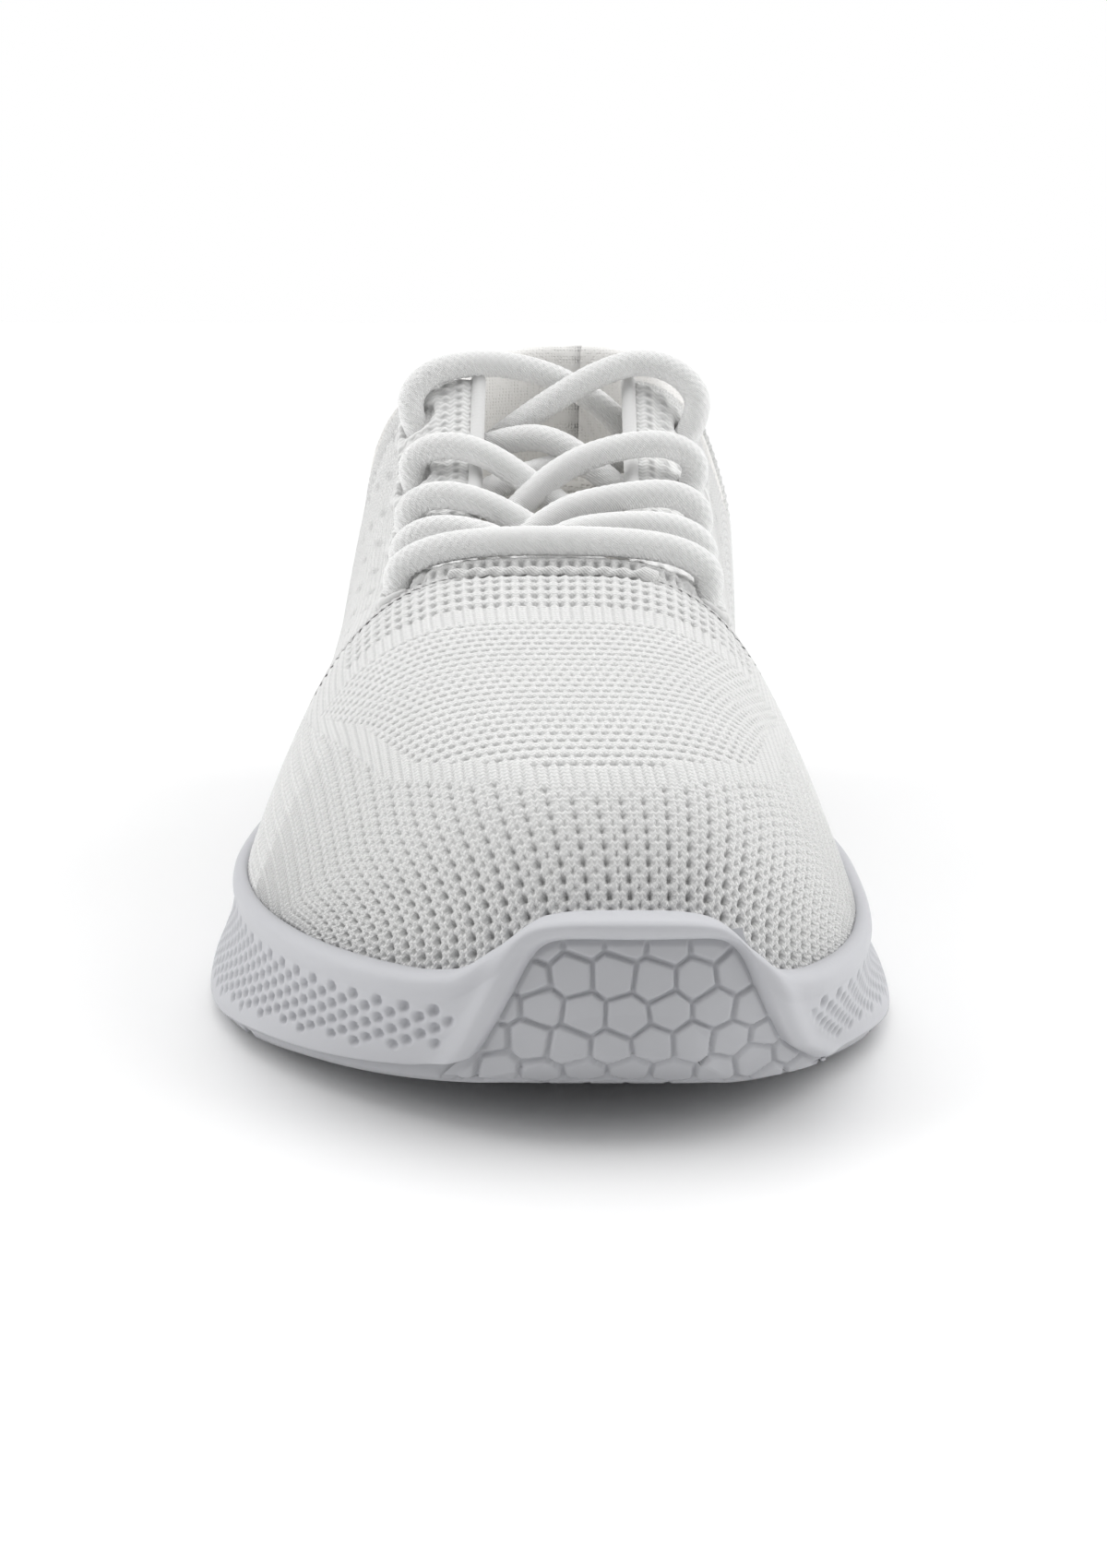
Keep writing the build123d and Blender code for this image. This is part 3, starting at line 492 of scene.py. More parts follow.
def knit_relief(wale, course, run, zones):
    """Height of the knit, and how deep in a hole each point is, as painted shade; the ribs get a little
    painted shade between them too.
    """
    opening = 0.5 + 0.5 * ramp((TIP_OPENING[0] - run) / TIP_OPENING[1])
    hole = opening * pit(wrap(wale), wrap(course), *HOLE)
    small = opening * pit(wrap(wale + 0.5), wrap(course + 0.5), *SMALL_HOLE)
    loops = np.cos(4 * np.pi * (course - 0.35 * np.abs(wrap(2 * wale))))
    ridges = np.cos(4 * np.pi * wale)
    row = run / DASH_COURSE
    shift = 0.5 * (np.floor(row) % 2)
    dash = pit(wrap(wale * DASH_WALES + shift), wrap(row), *DASH)
    bridge = pit(wrap(wale * DASH_WALES + shift + 0.5), wrap(row), *BRIDGE)
    dot = pit(wrap(DOT_WALES * wale), wrap(DOT_COURSES * course), *DOT)
    height = (zones["mesh"] * (0.1 * loops - 0.07 * ridges - 0.9 * hole - 0.45 * small)
              + zones["dash"] * (0.12 * bridge - 0.65 * dash)
              + zones["rib"] * (0.15 * ridges + 0.03 * loops)
              + zones["dots"] * (0.05 * ridges - 0.75 * dot))
    # painted shade: darker down the holes, dashes and dots, and between the ribs
    depth = (zones["mesh"] * (hole + 0.5 * small) + zones["dash"] * 0.75 * dash
             + zones["dots"] * 0.8 * dot + zones["rib"] * 0.22 * ramp(-ridges))
    return height, np.clip(depth, 0, 1)


VAMP_TAIL = 8.0  # the vamp runs on under the lowest lace
SIDE_SPAN = 1.205  # the sections run this far past the middle, where 1 is the form's base
THROAT_ROLL, UNDER_QUARTERS = 1.7, 0.8  # the vamp's end rises in the throat and sinks beside it
ROLL_MARGIN = 9.0  # the rise goes this far past the throat's edges
TIP_GATHER = 0.22  # the columns close up this much towards the tip
vamp_planes, vamp_line = even_planes(-FAN_LIMIT, THROAT_START - FAN_STATION + VAMP_TAIL, KNIT_STEP)
VAMP_END = vamp_line[-1] - VAMP_TAIL
half_across = np.linspace(0, 1, 216)
halves = []
for sign in (-1, 1):
    rows = section(sign, vamp_planes)
    lengths = arc_lengths(rows)
    halves.append(resampled(rows, lengths, lengths[:, -1:] * half_across))
vamp_points = np.concatenate((halves[0][:, :0:-1], halves[1]), axis=1)
vamp_run, vamp_across = np.meshgrid(
    vamp_line, SIDE_SPAN * np.concatenate((-half_across[:0:-1], half_across)), indexing="ij")
past = vamp_points[..., 1] - THROAT_START
off_middle = vamp_points[..., 0] - THROAT_CENTRE
in_throat = ramp((THROAT_HALF_WIDTH + ROLL_MARGIN - np.abs(off_middle)) / 4)
tuck = in_throat * (VAMP_TAIL * ramp((past - 4) / 3.5) - THROAT_ROLL * ramp((past - 0.2) / 2.4))
under = UNDER_QUARTERS * (1 - in_throat) * ramp(past + 0.2)
vamp_points -= points_at(under * np.sign(off_middle), 0, tuck + under)
vamp_wale = WALES * vamp_across * (1 + TIP_GATHER * ramp((32 - vamp_run) / 26))
vamp_relief, vamp_hole_shade = knit_relief(vamp_wale, vamp_run / COURSE, vamp_run,
                                     knit_zones(vamp_run, vamp_across))
# the pit mark is painted shade down the knit's holes
grid_piece("knit_vamp", raised(vamp_points, -1, vamp_relief), slot="knit_yarn", painted_shade=vamp_hole_shade,
           uv=np.stack((vamp_wale, vamp_run / COURSE), axis=-1))

HEEL_TURN = 245.0  # where the quarters' walls start to round the heel
THROAT_LINE_END = 225.0  # the throat's line is carried this far back, to measure from
EDGE_END = 200.0  # the throat's edge is the quarter's top edge up to here
QUARTER_FOOT = 18.0
QUARTER_COLUMNS, RUN_COLUMN = 190, -50  # columns, and the one along which courses are counted
WALE_WIDTH = 3.25
FOLLOW_SOLE = (150.0, 215.0)  # stations over which the ribs turn from the throat's line to the sole's
LEVEL_STATION = 180.0  # here a rib has the same place by the throat's line and by the sole's
STROKE_PITCH, STROKE_ROW = 9.0, 6.5  # slanted hollow stitches below the eyestay
STROKE_LENGTH, STROKE_WIDTH = 2.8, 0.7
STROKE_BAND = (10.0, 34.0)  # they lie between these distances from the top edge
SLANT = math.radians(35)
OPEN_LOW, OPEN_FADE = 30.0, 8.0  # open mesh up to this far from the foot, then fading out
OPEN_SHARE = 0.7  # how open that mesh is away from the vamp
STROKE_DEPTH, STROKE_SHADE = 0.35, 0.3
EDGE_FOLD = (2.6, 1.9, 1.2, 0.5)  # the top edge turns in over the lining


def heel_stations(count, back):
    """Stations from where the heel starts to round to its back, evenly spaced round it."""
    turn = np.linspace(0, np.pi / 2, count)
    return HEEL_TURN + (back - HEEL_TURN) * np.sin(turn) ** (2 / HEEL_ROUNDNESS)


def throat_edge(station):
    """Half width of the throat at a station, with its round lower corners."""
    into = np.clip(THROAT_START + THROAT_CORNER - station, 0, THROAT_CORNER)
    return THROAT_HALF_WIDTH - THROAT_CORNER + np.sqrt(THROAT_CORNER ** 2 - into ** 2)


def quarter_grid(sign, stations, columns):
    """Points of one quarter from its top edge down, with each one's length from the throat's line
    and to the foot, and the lengths at which each row and the throat's line start."""
    rows = section(sign, stations - FAN_STATION)
    lengths = arc_lengths(rows)
    throat, starts, ends = [], [], []
    for row, length, station in zip(rows, lengths, stations):
        reach = np.maximum.accumulate(np.abs(row[:, 0] - THROAT_CENTRE))
        by_throat = np.interp(throat_edge(min(station, THROAT_LINE_END)), reach, length)
        by_collar = np.interp(-profile(COLLAR_LINE, station), -row[:, 2], length)
        throat.append(by_throat)
        starts.append(max(by_throat if station < EDGE_END else 0, by_collar))
        ends.append(np.interp(-QUARTER_FOOT, -row[:, 2], length))
    throat, starts, ends = (np.array(values)[:, None] for values in (throat, starts, ends))
    wanted = starts + (ends - starts) * np.linspace(0, 1, columns)
    points = leaned(resampled(rows, lengths, wanted))
    return points, wanted - throat, ends - wanted, starts - throat, throat


def first_repeated(values):
    """Values of the quarter with those of its top edge again for each column of the fold."""
    return np.concatenate((values[:, :1].repeat(len(EDGE_FOLD), axis=1), values), axis=1)


for side_name, sign in (("lateral", -1), ("medial", 1)):
    straight = np.arange(THROAT_START - 0.2, HEEL_TURN, 0.45)
    stations = np.concatenate((straight, heel_stations(150, FORM_BACK)))
    points, from_throat, from_sole, top_edge, throat = quarter_grid(sign, stations, QUARTER_COLUMNS)
    low_line = arc_lengths(points[:, RUN_COLUMN])
    run = VAMP_END - 0.2 + np.broadcast_to(low_line[:, None], from_throat.shape)
    turn = ramp((stations[:, None] - FOLLOW_SOLE[0]) / (FOLLOW_SOLE[1] - FOLLOW_SOLE[0]))
    level = (from_throat + from_sole)[np.searchsorted(stations, LEVEL_STATION), 0]
    rib_line = throat[0] + (1 - turn) * from_throat + turn * (level - from_sole)
    wale, course = sign * rib_line / WALE_WIDTH, run / COURSE
    below = from_throat - top_edge
    slanted = (ramp((below - STROKE_BAND[0]) / 3) * ramp((STROKE_BAND[1] - below) / 3)
               * ramp((run - VAMP_END - 12) / 8))
    stagger = 0.5 * (np.floor(rib_line / STROKE_ROW) % 2)
    along_slant = wrap(run / STROKE_PITCH + stagger) * STROKE_PITCH
    from_row = wrap(rib_line / STROKE_ROW) * STROKE_ROW
    stroke = slanted * pit(along_slant * math.cos(SLANT) + from_row * math.sin(SLANT),
                           from_row * math.cos(SLANT) - along_slant * math.sin(SLANT),
                           STROKE_LENGTH, STROKE_WIDTH)
    openness = OPEN_SHARE + (1 - OPEN_SHARE) * ramp((VAMP_END + 30 - run) / 30)
    mesh = openness * ramp((OPEN_LOW - from_sole) / OPEN_FADE)
    zones = dict(mesh=mesh, dash=0 * mesh, dots=0 * mesh, rib=1 - mesh)
    relief, depth = knit_relief(wale, course, run, zones)
    outer = raised(points, -sign, relief - STROKE_DEPTH * stroke)
    turned_in = normals(points, -sign)[:, :1] * np.array(EDGE_FOLD)[None, :, None]
    folded = points[:, :1] - turned_in - (0, 0, 0.3)
    # the pit mark is painted shade down the mesh holes, between the ribs and in the slanted strokes
    quarter = grid_piece(f"knit_quarter_{side_name}", np.concatenate((folded, outer), axis=1),
                         slot="knit_yarn",
                         painted_shade=first_repeated(np.clip(depth + STROKE_SHADE * stroke, 0, 1)),
                         uv=np.stack((first_repeated(wale), first_repeated(course)), axis=-1))
    if sign < 0:
        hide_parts("upper_knit")


# ---- midsole: foam cup with a dimpled wall and a rolled lip ------------------------
OUTSOLE_THICKNESS = 3.6
WALL_FOOT = 1.3  # the wall ends this far above the ground line
WALL_TURN = 1.0  # and this far below the lip's top, where the lip rolls over
SOLE_STEP = 0.42
WALK_HEIGHT, WALK_SAMPLES = 20.0, 1500  # the walk round the sole is measured at this height
LIP_HEIGHT = 3.6
LIP_SWELL = 0.45
LIP_CREST = 1.1
CUP_OVERLAP = 0.35  # the cup's inner wall lies this far inside the upper's surface
CUP_FLOOR = FOOT_BED - 0.2
DIMPLE_COLUMN, DIMPLE_ROW = 2.5, 2.75
DIMPLE_RADIUS, DIMPLE_FLAT, DIMPLE_DEPTH = 1.08, 0.45, 0.8
LOW_LIP = 23.0  # the dimples keep below this level where the lip climbs the toe
BUMPER_TOP = 30.2
BUMPER_LEVELS = (4, 12, BUMPER_TOP)
BUMPER_LEFT, BUMPER_RIGHT = (-16, -9.5, -1), (40, 33.5, 26)
BUMPER_DEPTH = 40.0  # stations that the bumper's frame reaches back to
BUMPER_SOFT = 1.6  # rounding of the window's corners
FRAME_SWELL, FRAME_OFFSET, FRAME_WIDTH = 0.7, 2.2, 1.6
WINDOW_DEPTH = 2.2
PANEL_RECESS = 1.0


def outline_walk(step):
    """Sides and length fractions evenly spaced round the sole, from the toe up the medial side."""
    dense = (1 - np.cos(np.linspace(0, np.pi, WALK_SAMPLES))) / 2
    tip, back = wall_ends(WALK_HEIGHT)
    signs = np.concatenate((np.ones(WALK_SAMPLES), -np.ones(WALK_SAMPLES - 2)))
    parts = np.concatenate((dense, dense[-2:0:-1]))
    station = tip + (back - tip) * parts
    x = np.where(signs > 0, wall_x(1, station, WALK_HEIGHT), wall_x(-1, station, WALK_HEIGHT))
    loop = np.stack((x, station), axis=-1)
    run = arc_lengths(np.concatenate((loop, loop[:1])))
    count = int(run[-1] / step)
    wanted = np.arange(count) * run[-1] / count
    part = np.interp(wanted, run, np.concatenate((parts, [0.0])))
    return np.where(wanted <= run[WALK_SAMPLES - 1], 1, -1), part, wanted


def wall_point(sign, part, height):
    """Points of the sole's wall at length fractions and heights."""
    tip, back = wall_ends(height)
    station = tip + (back - tip) * part
    x = np.where(sign > 0, wall_x(1, station, height), wall_x(-1, station, height))
    return points_at(x, station, height)


def form_point(sign, part, height, grow):
    """Points of the foot form's wall at length fractions and heights."""
    table = np.linspace(FORM_TIP, TOP_STATIONS[-1], 3000)
    front = np.interp(height, form_top(table), table)
    station = front + (FORM_BACK - front) * part
    x = np.where(sign > 0, form_x(1, station, height, grow), form_x(-1, station, height, grow))
    return points_at(x, station, height)


def bumper_inset(points):
    """Distance inside the bumper's window on the toe's face, rounded at its corners."""
    x, station, height = points[..., 0], points[..., 1], points[..., 2]
    left = x - np.interp(height, BUMPER_LEVELS, BUMPER_LEFT)
    right = np.interp(height, BUMPER_LEVELS, BUMPER_RIGHT) - x
    top = BUMPER_TOP - height
    inside = -BUMPER_SOFT * np.log(sum(np.exp(-gap / BUMPER_SOFT) for gap in (left, right, top)))
    return np.where(station < BUMPER_DEPTH, inside, -10)


walk_sign, walk_part, walk_run = outline_walk(SOLE_STEP)
walk_tip, walk_back = wall_ends(WALK_HEIGHT)
walk_station = walk_tip + (walk_back - walk_tip) * walk_part
wall_low = ground_line(walk_station) + WALL_FOOT
lip_top = profile(LIP_LINE, walk_station)
wall_height = wall_low + (lip_top - WALL_TURN - wall_low) * np.linspace(0, 1, 60)[:, None]
wall_points = wall_point(walk_sign, walk_part, wall_height)
below_lip = lip_top - wall_height
wall_run = arc_lengths(np.swapaxes(wall_points, 0, 1)).T
from_lip = wall_run[-1] - wall_run + WALL_TURN
lip_round = np.sin(np.pi * np.clip(below_lip / LIP_HEIGHT, 0.15, 1)) * (below_lip < LIP_HEIGHT)

lip_climb = lip_top - np.minimum(lip_top, LOW_LIP)
dimple_column = walk_run / DIMPLE_COLUMN
stagger = 0.5 * (np.floor(dimple_column) % 2)
dimple_row = (from_lip - lip_climb - LIP_HEIGHT + 0.3) / DIMPLE_ROW + stagger
from_centre = np.hypot(wrap(dimple_column) * DIMPLE_COLUMN, wrap(dimple_row) * DIMPLE_ROW)
row_top = (np.floor(dimple_row) - stagger) * DIMPLE_ROW
inset = bumper_inset(wall_points)
whole = (row_top > -0.3) * (row_top + DIMPLE_ROW < wall_run[-1] - lip_climb - LIP_HEIGHT - 0.4)
field = (dimple_row > 0) * whole * ramp((-inset - 4.5) / 1.5)
dimple = field * (1 - ramp((from_centre - DIMPLE_FLAT) / (DIMPLE_RADIUS - DIMPLE_FLAT)))

frame_swell = FRAME_SWELL * np.exp(-((inset + FRAME_OFFSET) / FRAME_WIDTH) ** 2)
wall_relief = (LIP_SWELL * lip_round * (inset < 0) + frame_swell - DIMPLE_DEPTH * dimple
               - WINDOW_DEPTH * ramp(inset / 1.3 + 0.4))
outer_wall = raised(wall_points, -1, wall_relief, close_cols=True)
inner_top = form_point(walk_sign, walk_part, wall_height[-1], -CUP_OVERLAP)
roll = np.linspace(0, np.pi, 9)[1:-1, None, None]
crest = ((outer_wall[-1] + inner_top) / 2 + (outer_wall[-1] - inner_top) / 2 * np.cos(roll)
         + np.array((0, 0, LIP_CREST)) * np.sin(roll))
inner_height = wall_height[-1] + (CUP_FLOOR - wall_height[-1]) * np.linspace(0, 1, 8)[:, None]
inner_wall = form_point(walk_sign, walk_part, inner_height, -CUP_OVERLAP)
floor_centre = np.array((3.0, 150.0, 0.0))
floor_ring, base_ring = (floor_centre + (ring - floor_centre) * (0.3, 0.55, 1)
                         for ring in (inner_wall[-1], outer_wall[0]))
midsole_points = np.concatenate((outer_wall, crest, inner_wall, floor_ring[None], base_ring[None]))
# the dimples are darkened with painted shade through the pit mark
dimple_shade = np.zeros(midsole_points.shape[:2])
dimple_shade[:len(dimple)] = dimple
midsole = grid_piece("dimpled_midsole", midsole_points, slot="midsole_foam", close_rows=True,
                     close_cols=True, painted_shade=dimple_shade)
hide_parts("midsole")

# ---- outsole: treaded ground layer, and the bumper panel over the toe ---------------
CELL, CELL_ASPECT = 5.7, 0.87
CELL_JITTER = 0.11
GROOVE_HALF = 0.33
PANEL_GROOVE, PANEL_EDGE = 0.55, 0.5
PANEL_MARGIN = 1.0  # the panel goes this far under its frame
PANEL_FOOT = 0.3  # above the ground line
PANEL_WRAP = 12.0  # how far the panel runs under the toe
TREAD_CELL, TREAD_GROOVE = 9.0, 1.0
FLEX_STATIONS = (52, 70, 88, 106, 124, 228, 246, 264)
FLEX_WIDTH, FLEX_DEPTH = 2.6, 1.4
EDGE_INSET = 1.1  # the outsole's edge lies inside the wall's
TREAD_ROUND = 0.7  # the tread's edges are rounded by this much


def cell_gap(across, up, cell):
    """Distance from each point to the nearest edge of an uneven honeycomb."""
    best = np.full(across.shape, 1e9)
    second = best.copy()
    for down in range(-2, 3):
        row = np.round(up / (cell * CELL_ASPECT)) + down
        shift = 0.5 * (row % 2)
        for sideways in range(-2, 3):
            column = np.round(across / cell - shift) + sideways
            shake_x = np.sin(12.9 * column + 78.2 * row) * CELL_JITTER
            shake_y = np.sin(39.3 * column + 11.1 * row + 1.7) * CELL_JITTER
            x, y = (column + shift + shake_x) * cell, (row + shake_y) * cell * CELL_ASPECT
            distance = np.hypot(across - x, up - y)
            second = np.where(distance < best, best, np.minimum(second, distance))
            best = np.minimum(best, distance)
    return (second - best) / 2


def toe_face(x, height):
    """Station of the sole's wall at the toe over x and height."""
    tip, _ = wall_ends(height)

    def before_wall(station):
        medial, lateral = wall_x(1, station, height) - x, x - wall_x(-1, station, height)
        return np.where(x > TOE_X, medial, lateral) < 0

    return crossing(tip + 0 * x, tip + 60 + 0 * x, before_wall)


panel_rise = np.linspace(0, 1, 84)[:, None]
panel_side = np.linspace(0, 1, 160)[None, :]
panel_foot = 6.0 + 0 * panel_side
for _ in range(12):  # settles the panel's foot on the sole's rockered underside
    panel_height = panel_foot + (BUMPER_TOP + 0.6 - panel_foot) * panel_rise
    panel_left = np.interp(panel_height, BUMPER_LEVELS, BUMPER_LEFT) - PANEL_MARGIN
    panel_right = np.interp(panel_height, BUMPER_LEVELS, BUMPER_RIGHT) + PANEL_MARGIN
    panel_x = panel_left + (panel_right - panel_left) * panel_side
    face = points_at(panel_x, toe_face(panel_x, panel_height), panel_height)
    panel_foot = ground_line(face[:1, :, 1]) + PANEL_FOOT
under_share = np.linspace(1, 0.04, 30)[:, None]
under_station = face[:1, :, 1] + PANEL_WRAP * under_share
under_height = ground_line(under_station) - 0.1 + 0.4 * (1 - under_share) ** 4
under_toe = points_at(panel_x[:1], under_station, under_height)
panel = np.concatenate((under_toe, face))
panel_up = np.concatenate((panel_height[:1] - PANEL_WRAP * under_share, panel_height))
under_recess = np.broadcast_to(0.15 * (1 - under_share) ** 2, under_station.shape)
face_recess = np.clip((panel_height - panel_foot) / 6, 0.15, 1)
panel_groove = 1 - ramp(cell_gap(panel[..., 0], panel_up, CELL) / GROOVE_HALF - 0.4)
inner_share = np.where(panel_up < panel_foot, 1, ramp(bumper_inset(panel) / 1.2))
panel_pits = panel_groove * inner_share
panel_relief = -(PANEL_RECESS * np.concatenate((under_recess, face_recess))
                 + PANEL_GROOVE * panel_pits + PANEL_EDGE * (1 - inner_share))
# the groove marks also darken the grooves with painted shade
grid_piece("bumper_panel", raised(panel, -1, panel_relief), slot="outsole_rubber", painted_shade=panel_pits)

tread_step = np.linspace(0, 1, 340)
closing_up = (1 - np.cos(np.pi * (0.02 + 0.96 * tread_step))) / 2  # rows close up at both ends
tread_tip, tread_back = wall_ends(5.0)
tread_length = tread_back - tread_tip - 3.6
tread_station = (tread_tip + 2.4 + tread_length * (closing_up + tread_step) / 2)[:, None]
tread_low = ground_line(tread_station)
edge_low, edge_high = tread_low + 1.0, tread_low + OUTSOLE_THICKNESS
lateral_low, medial_low = (wall_x(side, tread_station, edge_low, EDGE_INSET) for side in (-1, 1))
lateral_high, medial_high = (wall_x(side, tread_station, edge_high, EDGE_INSET + 1)
                             for side in (-1, 1))
bottom_x = (lateral_low + TREAD_ROUND
            + (medial_low - lateral_low - 2 * TREAD_ROUND) * np.linspace(0, 1, 130)[None, :])
edge_distance = np.minimum(bottom_x - lateral_low, medial_low - bottom_x)
flex = sum(ramp((FLEX_WIDTH / 2 + 0.3 - np.abs(tread_station - cut)) / 0.6) for cut in FLEX_STATIONS)
tread_gap = cell_gap(bottom_x, tread_station, TREAD_CELL)
tread_groove = (1 - ramp(tread_gap / 0.8 - 0.5)) * ramp(edge_distance - 5)
tread_cut = np.maximum(FLEX_DEPTH * np.clip(flex, 0, 1), TREAD_GROOVE * tread_groove)
bottom = points_at(bottom_x, tread_station, tread_low + tread_cut)
top_x = medial_high + (lateral_high - medial_high) * np.linspace(0, 1, 12)[None, 1:-1]
top = points_at(top_x, tread_station, edge_high)


def band_column(low_x, high_x, columns):
    """Upright columns of the outsole's edge between two of its outlines."""
    share = np.linspace(0, 1, columns)[None, :]
    return points_at(low_x + (high_x - low_x) * share, tread_station,
                     edge_low + (edge_high - edge_low) * share)


tread_points = np.concatenate((bottom, band_column(medial_low, medial_high, 4), top,
                               band_column(lateral_low, lateral_high, 4)[:, ::-1]), axis=1)
# painted shade down the tread's grooves and flex cuts
tread_groove_shade = np.zeros(tread_points.shape[:2])
tread_groove_shade[:, :bottom.shape[1]] = tread_cut / FLEX_DEPTH
outsole = grid_piece("treaded_outsole", tread_points, slot="outsole_rubber", close_cols=True,
                     painted_shade=tread_groove_shade, caps=True)
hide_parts("outsole")


# ---- throat trims: ribbed eyestays, rolled bindings, eyelet lips and the end seam ----
STRIP_INNER, STRIP_OUTER = 15.0, 29.2  # from the middle of the throat
STRIP_START, STRIP_END = 100.0, 171.5
STRIP_THICKNESS, STRIP_SUNK = 1.4, 0.25
STRIP_RIB, STRIP_ROW = 2.6, 1.9
EYELET_RADIUS, EYELET_DEPTH = 3.1, 3.0
EYELET_RIM = 0.9
BINDING_RADIUS, BINDING_REACH, BINDING_START = 1.35, 14.2, 103.0
LIP_TURN = 0.55 * np.pi  # the knit's lip goes this far to each side round an eyelet's outer edge
LIP_ACROSS, LIP_ALONG, LIP_RADIUS = 4.1, 3.6, 0.85
SEAM_STATION, SEAM_LEFT, SEAM_RIGHT = 96.2, -15.6, 18.2
SEAM_RADIUS, SEAM_TWIST, SEAM_PITCH = 0.74, 0.2, 3.0


def on_form(off, station, lift=0.0):
    """Points over the upper at an offset from the middle of the throat."""
    x = THROAT_CENTRE + np.asarray(off, float)
    height = np.minimum(surface_height(x, station), profile(COLLAR_LINE, station) + 0.6)
    return points_at(x, station, height + lift)


def cord_piece(name, path, radius, around, slot, relief=None):
    """A closed piece of round section along a path."""
    return grid_piece(name, tube_grid(path, radius, around, relief), slot=slot, close_cols=True,
                      caps=True)


for side_name, sign in (("lateral", -1), ("medial", 1)):
    station, out = np.meshgrid(np.linspace(STRIP_START, STRIP_END, 190),
                               np.linspace(STRIP_INNER, STRIP_OUTER, 44), indexing="ij")
    edge = np.minimum(np.minimum(out - STRIP_INNER, STRIP_OUTER - out),
                      np.minimum(station - STRIP_START, STRIP_END - station))
    body = STRIP_THICKNESS * np.sqrt(np.clip(edge / 1.3, 0, 1)) - STRIP_SUNK
    off_eyelets = [np.hypot(out - EYELET_REACH, station - eyelet) - EYELET_RADIUS
                   for eyelet in EYELET_STATIONS]
    holes = sum(1 - ramp((off + EYELET_RIM) / EYELET_RIM) for off in off_eyelets)
    rims = sum(np.exp(-((off - EYELET_RIM) / 0.7) ** 2) for off in off_eyelets)
    rib = (out - STRIP_INNER) / STRIP_RIB
    dots = pit(wrap(rib + 0.5), wrap(station / STRIP_ROW), 0.25, 0.28)
    clear = 1 - np.clip(holes + rims, 0, 1)
    relief = (body + clear * (0.22 * np.cos(2 * np.pi * rib) - 0.4 * dots) + 0.35 * rims
              - EYELET_DEPTH * holes)
    base = on_form(sign * out, station)
    # painted shade down the eyelet holes and dot stitches
    strip = grid_piece(f"ribbed_eyestay_{side_name}", raised(base, -sign, relief),
                       slot="rib_yarn", painted_shade=np.clip(holes + clear * 0.7 * dots, 0, 1),
                       uv=np.stack((out / 1.6, station / STRIP_ROW), axis=-1))
    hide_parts(f"eyestay_{side_name}")

    edge_stations = np.linspace(BINDING_START, STRIP_END, 200)
    rolled = on_form(np.full(200, sign * BINDING_REACH), edge_stations, 0.1)
    binding = cord_piece(f"rolled_binding_{side_name}", rolled, BINDING_RADIUS, 18, "rib_yarn",
                         lambda angle, run: 0.06 * np.cos(2 * np.pi * run / 1.1 + angle))
    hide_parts(f"throat_binding_{side_name}")

    for number, eyelet in enumerate(EYELET_STATIONS, 1):
        turn = np.linspace(-LIP_TURN, LIP_TURN, 26)
        lip_path = on_form(sign * (EYELET_REACH + LIP_ACROSS * np.cos(turn)),
                           eyelet - LIP_ALONG * np.sin(turn), 0.35)
        thickness = LIP_RADIUS * np.sqrt(np.clip(1 - (turn / (0.56 * np.pi)) ** 2, 0.03, 1))
        cord_piece(f"eyelet_lip_{side_name}_{number}", lip_path, thickness, 12, "knit_yarn")

seam_x = np.linspace(SEAM_LEFT, SEAM_RIGHT, 150)
seam_station = SEAM_STATION + 1.6 * (np.abs(seam_x - THROAT_CENTRE) / 17) ** 4
seam_path = points_at(seam_x, seam_station, surface_height(seam_x, seam_station) + 0.35)
seam_size = (SEAM_RADIUS + 0.8 * np.exp(-((seam_x - 16.8) / 1.3) ** 2)  # thicker at its ends
             + 0.35 * np.exp(-((seam_x + 16) / 1.5) ** 2))
seam = cord_piece("twisted_seam", seam_path, seam_size, 20, "seam_thread",
                  lambda angle, run: SEAM_TWIST * np.cos(2 * angle - 2 * np.pi * run / SEAM_PITCH))
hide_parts("throat_seam")

# ---- collar: one padded roll from the knit's top edge down to the lining -------------
COLLAR_START = 176.0
COLLAR_THICKNESS = 8.0
COLLAR_RISE = 0.8  # the roll stands this far above the knit's top edge
COLLAR_FOOT = ((176, 98), (186, 70), (204, 46), (232, 40), (262, 46), (306, 52))
COLLAR_PLAN_HEIGHT = 60.0  # the direction inward is taken from the form's outline here


def signed_power(value, power):
    """A cosine or sine made rounder or squarer, with its sign kept."""
    return np.sign(value) * np.abs(value) ** power


def collar_rings():
    """Closed rings of the padded collar, from the medial front round the heel to the lateral."""
    straight = np.linspace(COLLAR_START, HEEL_TURN, 90)[:-1]
    stations = np.concatenate((straight, heel_stations(60, FORM_BACK - 0.2)))
    around = np.linspace(0, 2 * np.pi, 48, endpoint=False)
    top = profile(COLLAR_LINE, stations)[:, None]
    foot = np.minimum(profile(COLLAR_FOOT, stations)[:, None] + 2, top - 4)
    middle, half = (top + COLLAR_RISE + foot) / 2, (top + COLLAR_RISE - foot) / 2
    height = middle + half * signed_power(np.cos(around), 0.5)
    depth = COLLAR_THICKNESS / 2
    inward = depth * (1 - signed_power(np.sin(around), 0.7))
    over_top = ramp((height - top + 2.2) / 1.6)  # the roll covers the knit's top edge
    inward = 0.9 + inward - 1.5 * over_top * (inward < depth)
    rings = {}
    for side in (1, -1):
        plan = np.stack((form_x(side, stations, COLLAR_PLAN_HEIGHT), stations), axis=-1)
        along_plan = np.gradient(plan, axis=0)
        along_plan[-1] = (-side, 0)
        facing = np.stack((-side * along_plan[:, 1], side * along_plan[:, 0]), axis=-1)
        facing /= np.linalg.norm(facing, axis=1, keepdims=True)
        inward_x, inward_station = (facing[:, axis, None] * inward for axis in (0, 1))
        rings[side] = points_at(form_x(side, stations[:, None], height) + inward_x,
                                stations[:, None] + inward_station, height)
    return leaned(np.concatenate((rings[1], rings[-1][-2::-1])))


collar = grid_piece("padded_collar", collar_rings(), slot="collar_cloth", close_cols=True, caps=True)
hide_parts("collar_foam", "collar_lining")

